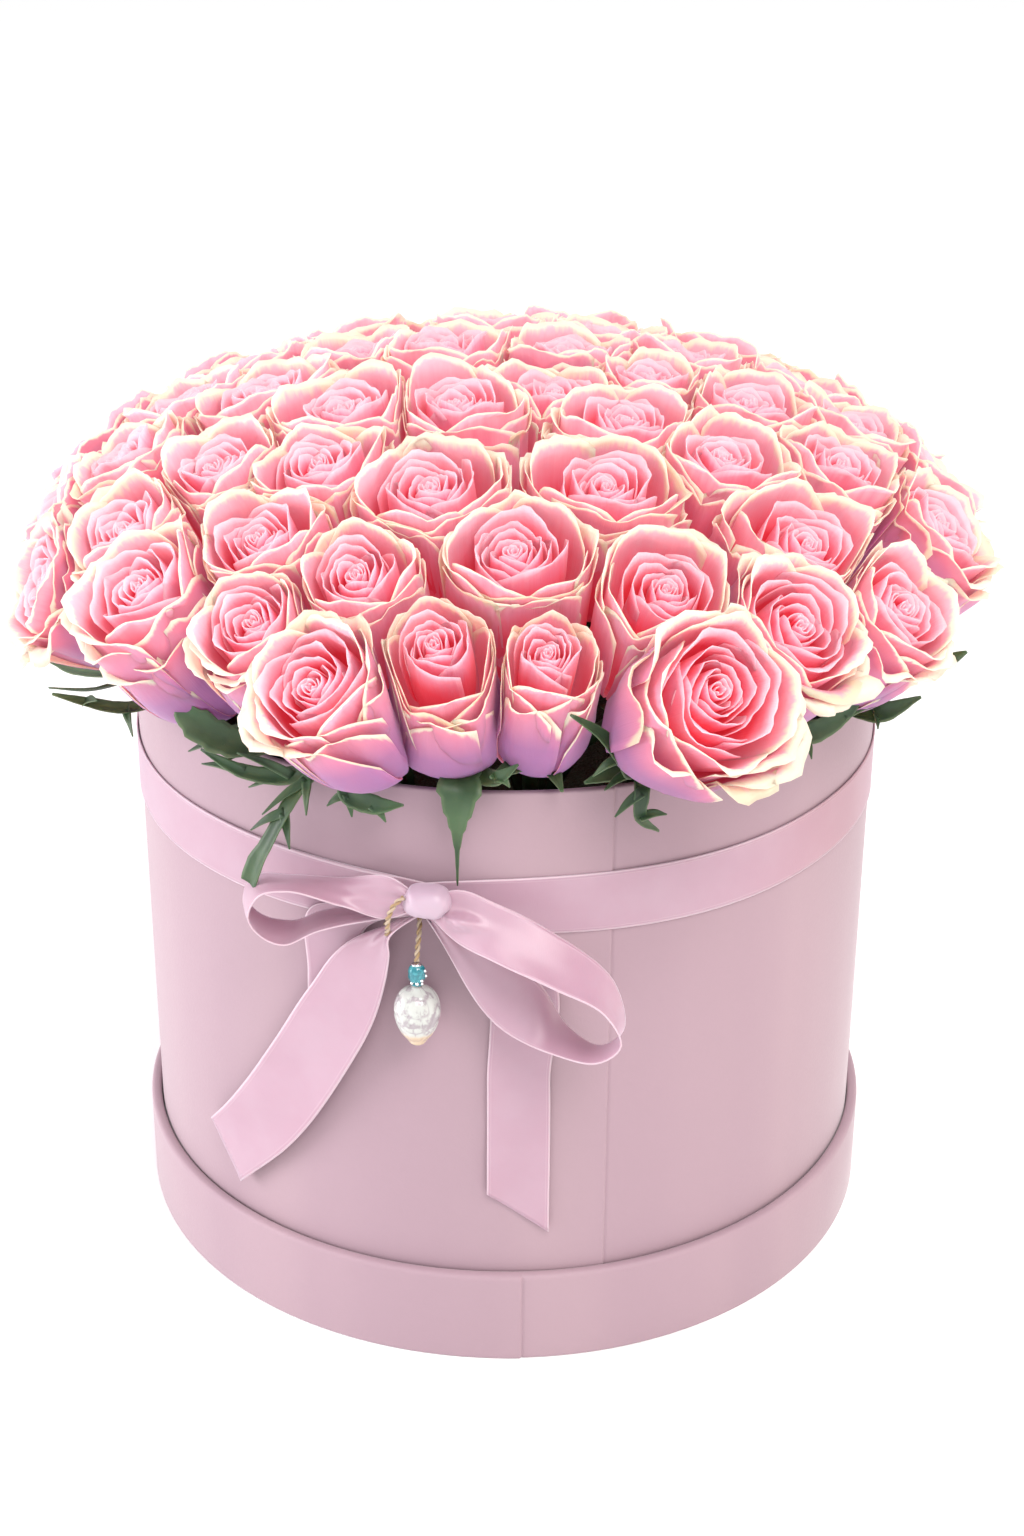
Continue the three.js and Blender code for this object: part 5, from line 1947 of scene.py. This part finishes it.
    def crowded(self, grid: Array, height: Array, borders: Array, inset: float) -> Array:
        """Pushes petals back softly from the planes to the neighbours, so that none crosses one.

        Within the soft reach of a plane the distance left shrinks exponentially towards the gap, and
        the foot of the bloom, which is firm, gives less. Then what is still across is set back.

        Args:
            grid: array of shape (petals, rows, columns, 3), in metres.
            height: height of the points above the seat, in millimetres.
            borders: planes as rows of a normal and an offset, in metres.
            inset: extra distance kept from every plane, in millimetres.

        Returns:
            The points where they end up, in the same shape.
        """
        points = grid.reshape(-1, 3)
        level = np.broadcast_to(height / BLOOM_LENGTH, grid.shape[:3]).ravel()
        give = np.clip(level / self.firm_seat, 0, 1)
        gap = (self.gap + inset) * MM
        soft = (self.soft_reach + inset) * MM
        room = soft - gap
        for plane in borders:
            depth = points @ plane[:3] - plane[3]
            near = depth > -soft
            wanted = -gap - room * np.exp(-np.clip(depth + soft, 0, None) / room)
            points = points + (np.where(near, wanted - depth, 0.0) * give)[:, None] * plane[:3]
        for _ in range(self.passes):
            for plane in borders:
                over = np.clip(points @ plane[:3] - plane[3] + gap, 0, None)
                points = points - over[:, None] * plane[:3]
        return points.reshape(grid.shape)


@dataclass
class Bunch:
    """One or several roses that stand in one hole of the foam; sizes in millimetres."""

    name: str
    roses: list[Rose]
    calyx_radius: float = 5.0
    stem_radius: float = 2.6
    stem_pull: float = 0.8
    stem_spread: float = 1.6
    foam_top: float = 165.0
    hole_floor: float = 116.0
    stem_points: int = 40
    node_place: float = 38.0
    teeth: int = 9
    broad_width: float = 8.0

    def build_petals(self, borders: list[Array], material: bpy.types.Material) -> None:
        """Builds the petals of all roses of the bunch as one piece.

        Args:
            borders: planes round each rose.
            material: finish of the petals.
        """
        surface = Surface()
        for rose, planes in zip(self.roses, borders):
            rose.petal_rings(surface, planes)
        surface.piece(f"{self.name}_petals", f"{self.name}_bloom", material, "petal")

    def stem_route(self, rose: Rose, foot: Array) -> Array:
        """Route of the stem from under the bloom down into its hole.

        It leaves along the rose's axis, bends through the middle of a cubic and ends upright.

        Args:
            rose: the rose that it carries.
            foot: place of its foot, in millimetres.

        Returns:
            Centres in millimetres.
        """
        hang = rose.manner.hang
        depths = (hang + 0.3, hang + 4, max(hang + 7, 9), max(hang + 10, 16), 30)
        collar, urn, neck, throat, far = (rose.seat - depth * rose.axis for depth in depths)
        above, mouth, floor = (
            np.array([foot[0], foot[1], height])
            for height in (self.foam_top + 34, self.foam_top + 8, self.hole_floor)
        )
        bend = (neck + 3 * far + 3 * above + mouth) / 8
        return smooth_path(np.array([collar, urn, neck, throat, bend, mouth, floor]), self.stem_points)

    def add_stem(self, surface: Surface, rose: Rose, foot: Array) -> None:
        """Stem whose radius swells softly to the urn of its calyx at the top, and at one small node.

        Args:
            surface: what gathers the greens.
            rose: the rose that it carries.
            foot: place of its foot, in millimetres.
        """
        route = self.stem_route(rose, foot)
        walked = np.concatenate([[0.0], np.cumsum(np.linalg.norm(np.diff(route, axis=0), axis=1))])
        urn = (self.calyx_radius - self.stem_radius) * (1 - smoothstep(2.5, 9.5, walked))
        urn = urn + 0.6 * np.exp(-(((walked - 3.5) / 2.0) ** 2))
        swell = 0.25 * np.exp(-(((walked - self.node_place) / 2.0) ** 2))
        radii = self.stem_radius * 0.96 + urn + swell
        surface.add_tube(route * MM, radii * MM, 10, np.array([1.0, 0.0, 0.0]), across=0.0)

    def add_blade(self, surface: Surface, path: Array, widths: Array, facing: Array, teeth: float) -> None:
        """Leaf or sepal: a blade whose width follows the table, folded along its middle.

        The width is a soft curve through the given widths, cut by small teeth. The two halves rise from
        the middle rib like a shallow V, and the blade ripples a little along its length.

        Args:
            surface: what gathers the greens.
            path: K by 3 route in millimetres.
            widths: K widths in millimetres.
            facing: direction that the upper side looks to.
            teeth: depth of the teeth as a share of the width.
        """
        count, columns = (12, 5) if len(path) < 4 and teeth == 0 else (34, 7)
        both = smooth_path(np.column_stack([path, widths * 1.0]), count)
        route = both[:, :3]
        share = np.linspace(0, 1, count)
        width = np.maximum(both[:, 3], 0.35)
        saw = (share * self.teeth) % 1.0
        width = width * (1 - teeth * (1 - saw) * smoothstep(0.1, 0.3, share))
        along = unit(np.gradient(route, axis=0))
        side = unit(np.cross(along, facing))
        above = np.cross(side, along)
        u = np.linspace(-1, 1, columns)[None, :, None]
        half = (width / 2)[:, None, None]
        fold = half * 0.34 * np.abs(u) ** 1.3 + 0.35 * np.sin(7 * share)[:, None, None] * u * half * 0.5
        grid = route[:, None] + side[:, None] * half * u + above[:, None] * fold
        thick = 0.55 * (1 - 0.5 * np.abs(u[..., 0])) * np.ones((count, 1))
        across = np.broadcast_to(u[None, ..., 0], (1, count, columns))
        surface.add_shell(grid[None] * MM, thick[None] * MM, across=across)

    def add_sepals(self, surface: Surface, rose: Rose, count: int, length: float) -> None:
        """Sepals bent back from the calyx, two on the side towards the top of the dome or four round it.

        Args:
            surface: what gathers the greens.
            rose: the rose that they grow under.
            count: number of sepals.
            length: how far they reach from the axis, in millimetres.
        """
        for step in np.linspace(-1, 1, count):
            angle = np.pi / 2 + step * (0.9 if count == 2 else 2.4)
            out = rose.side * np.cos(angle) + rose.up * np.sin(angle)
            seat = rose.seat - rose.manner.hang * rose.axis
            path = np.array([
                seat + 2.5 * out - 2.5 * rose.axis,
                seat + 8 * out - 3 * rose.axis,
                seat + length * out - 7 * rose.axis,
            ])
            self.add_blade(surface, path, np.array([4.0, 4.6, 0.6]), rose.axis, 0.0)

    def add_leaf(self, surface: Surface, rose: Rose, leaf: Leaf) -> None:
        """One long blade with its side lobes.

        Args:
            surface: what gathers the greens.
            rose: the rose that it grows on.
            leaf: its route, widths and lobes.
        """
        route = [rose.seat - 5 * rose.axis] + [polar(*place) for place in leaf.route]
        end = route[-1]
        facing = np.append(end[:2] / np.linalg.norm(end[:2]), 0.8)
        teeth = 0.22 if max(leaf.widths) > self.broad_width else 0.08
        self.add_blade(surface, np.array(route), np.array(leaf.widths, dtype=float), facing, teeth)
        for step, *tip in leaf.lobes:
            start = route[step + 1]
            end = polar(*tip)
            middle = (start + end) / 2 + np.array([0.0, 0.0, 0.8])
            self.add_blade(surface, np.array([start, middle, end]), np.array([3.5, 2.6, 0.4]), facing, 0.0)

    def build_greens(self, material: bpy.types.Material) -> None:
        """Builds the stems, calyxes, sepals and leaves of the bunch as one piece.

        Args:
            material: finish of the greens.
        """
        foot = np.mean([rose.seat for rose in self.roses], axis=0) * self.stem_pull
        foot[2] = 0.0
        single = len(self.roses) == 1
        surface = Surface()
        for rose in self.roses:
            towards = unit((rose.seat - foot) * np.array([1.0, 1.0, 0.0]))
            self.add_stem(surface, rose, foot if single else foot + self.stem_spread * towards)
            self.add_sepals(surface, rose, 2 if single else 4, 12.0 if single else 10.0)
        for leaf in LEAVES.get(self.name, ()):
            self.add_leaf(surface, self.roses[0], leaf)
        surface.piece(f"{self.name}_greens", f"{self.name}_stem", material, "green")


@dataclass
class Dome:
    """All the roses of the box, and the planes where they press on each other."""

    cell_reach: float = 84.0

    def bunches(self) -> list[Bunch]:
        """The single rim roses and the bunches, each rose with a seed of its own.

        Returns:
            The bunches in the order of the tables.
        """
        rows = {**{name: (row,) for name, row in RIM_ROSES.items()}, **BUNCHES}
        made = []
        seed = 0
        for name, table in rows.items():
            roses = []
            for row in table:
                seed += 1
                roses.append(Rose(*row, MANNERS.get(name, INNER), seed))
            made.append(Bunch(name, roses))
        return made

    def borders(self, rose: Rose, others: list[Rose]) -> Array:
        """Planes between a rose and its neighbours, each nearer to the slimmer of the two.

        Args:
            rose: the rose that the planes surround.
            others: all roses of the dome.

        Returns:
            Rows of a unit normal that points to the neighbour and an offset, in metres.
        """
        hearts = np.array([other.heart for other in others])
        girths = np.array([other.girth for other in others])
        apart = np.linalg.norm(hearts - rose.heart, axis=1)
        near = (apart > 1e-6) & (apart < self.cell_reach)
        normals = (hearts[near] - rose.heart) / apart[near][:, None]
        share = apart[near] * rose.girth / (rose.girth + girths[near])
        points = rose.heart + normals * share[:, None]
        return np.column_stack([normals, MM * np.sum(points * normals, axis=1)])

    def dress(self) -> None:
        """Builds every bunch."""
        petal = PetalFinish().build()
        green = GreenFinish().build()
        made = self.bunches()
        everyone = [rose for bunch in made for rose in bunch.roses]
        for bunch in made:
            bunch.build_petals([self.borders(rose, everyone) for rose in bunch.roses], petal)
            bunch.build_greens(green)


def main() -> None:
    """Builds the studio, the cord and then the rest of the rose box."""
    logging.basicConfig(level=logging.INFO, format="%(name)s: %(message)s")
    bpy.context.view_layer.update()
    Studio().build()
    ribbon = Ribbon()
    Pendant(ribbon).dress()
    ribbon.dress()
    HatBox().dress()
    Dome().dress()


if __name__ == "__main__":
    main()
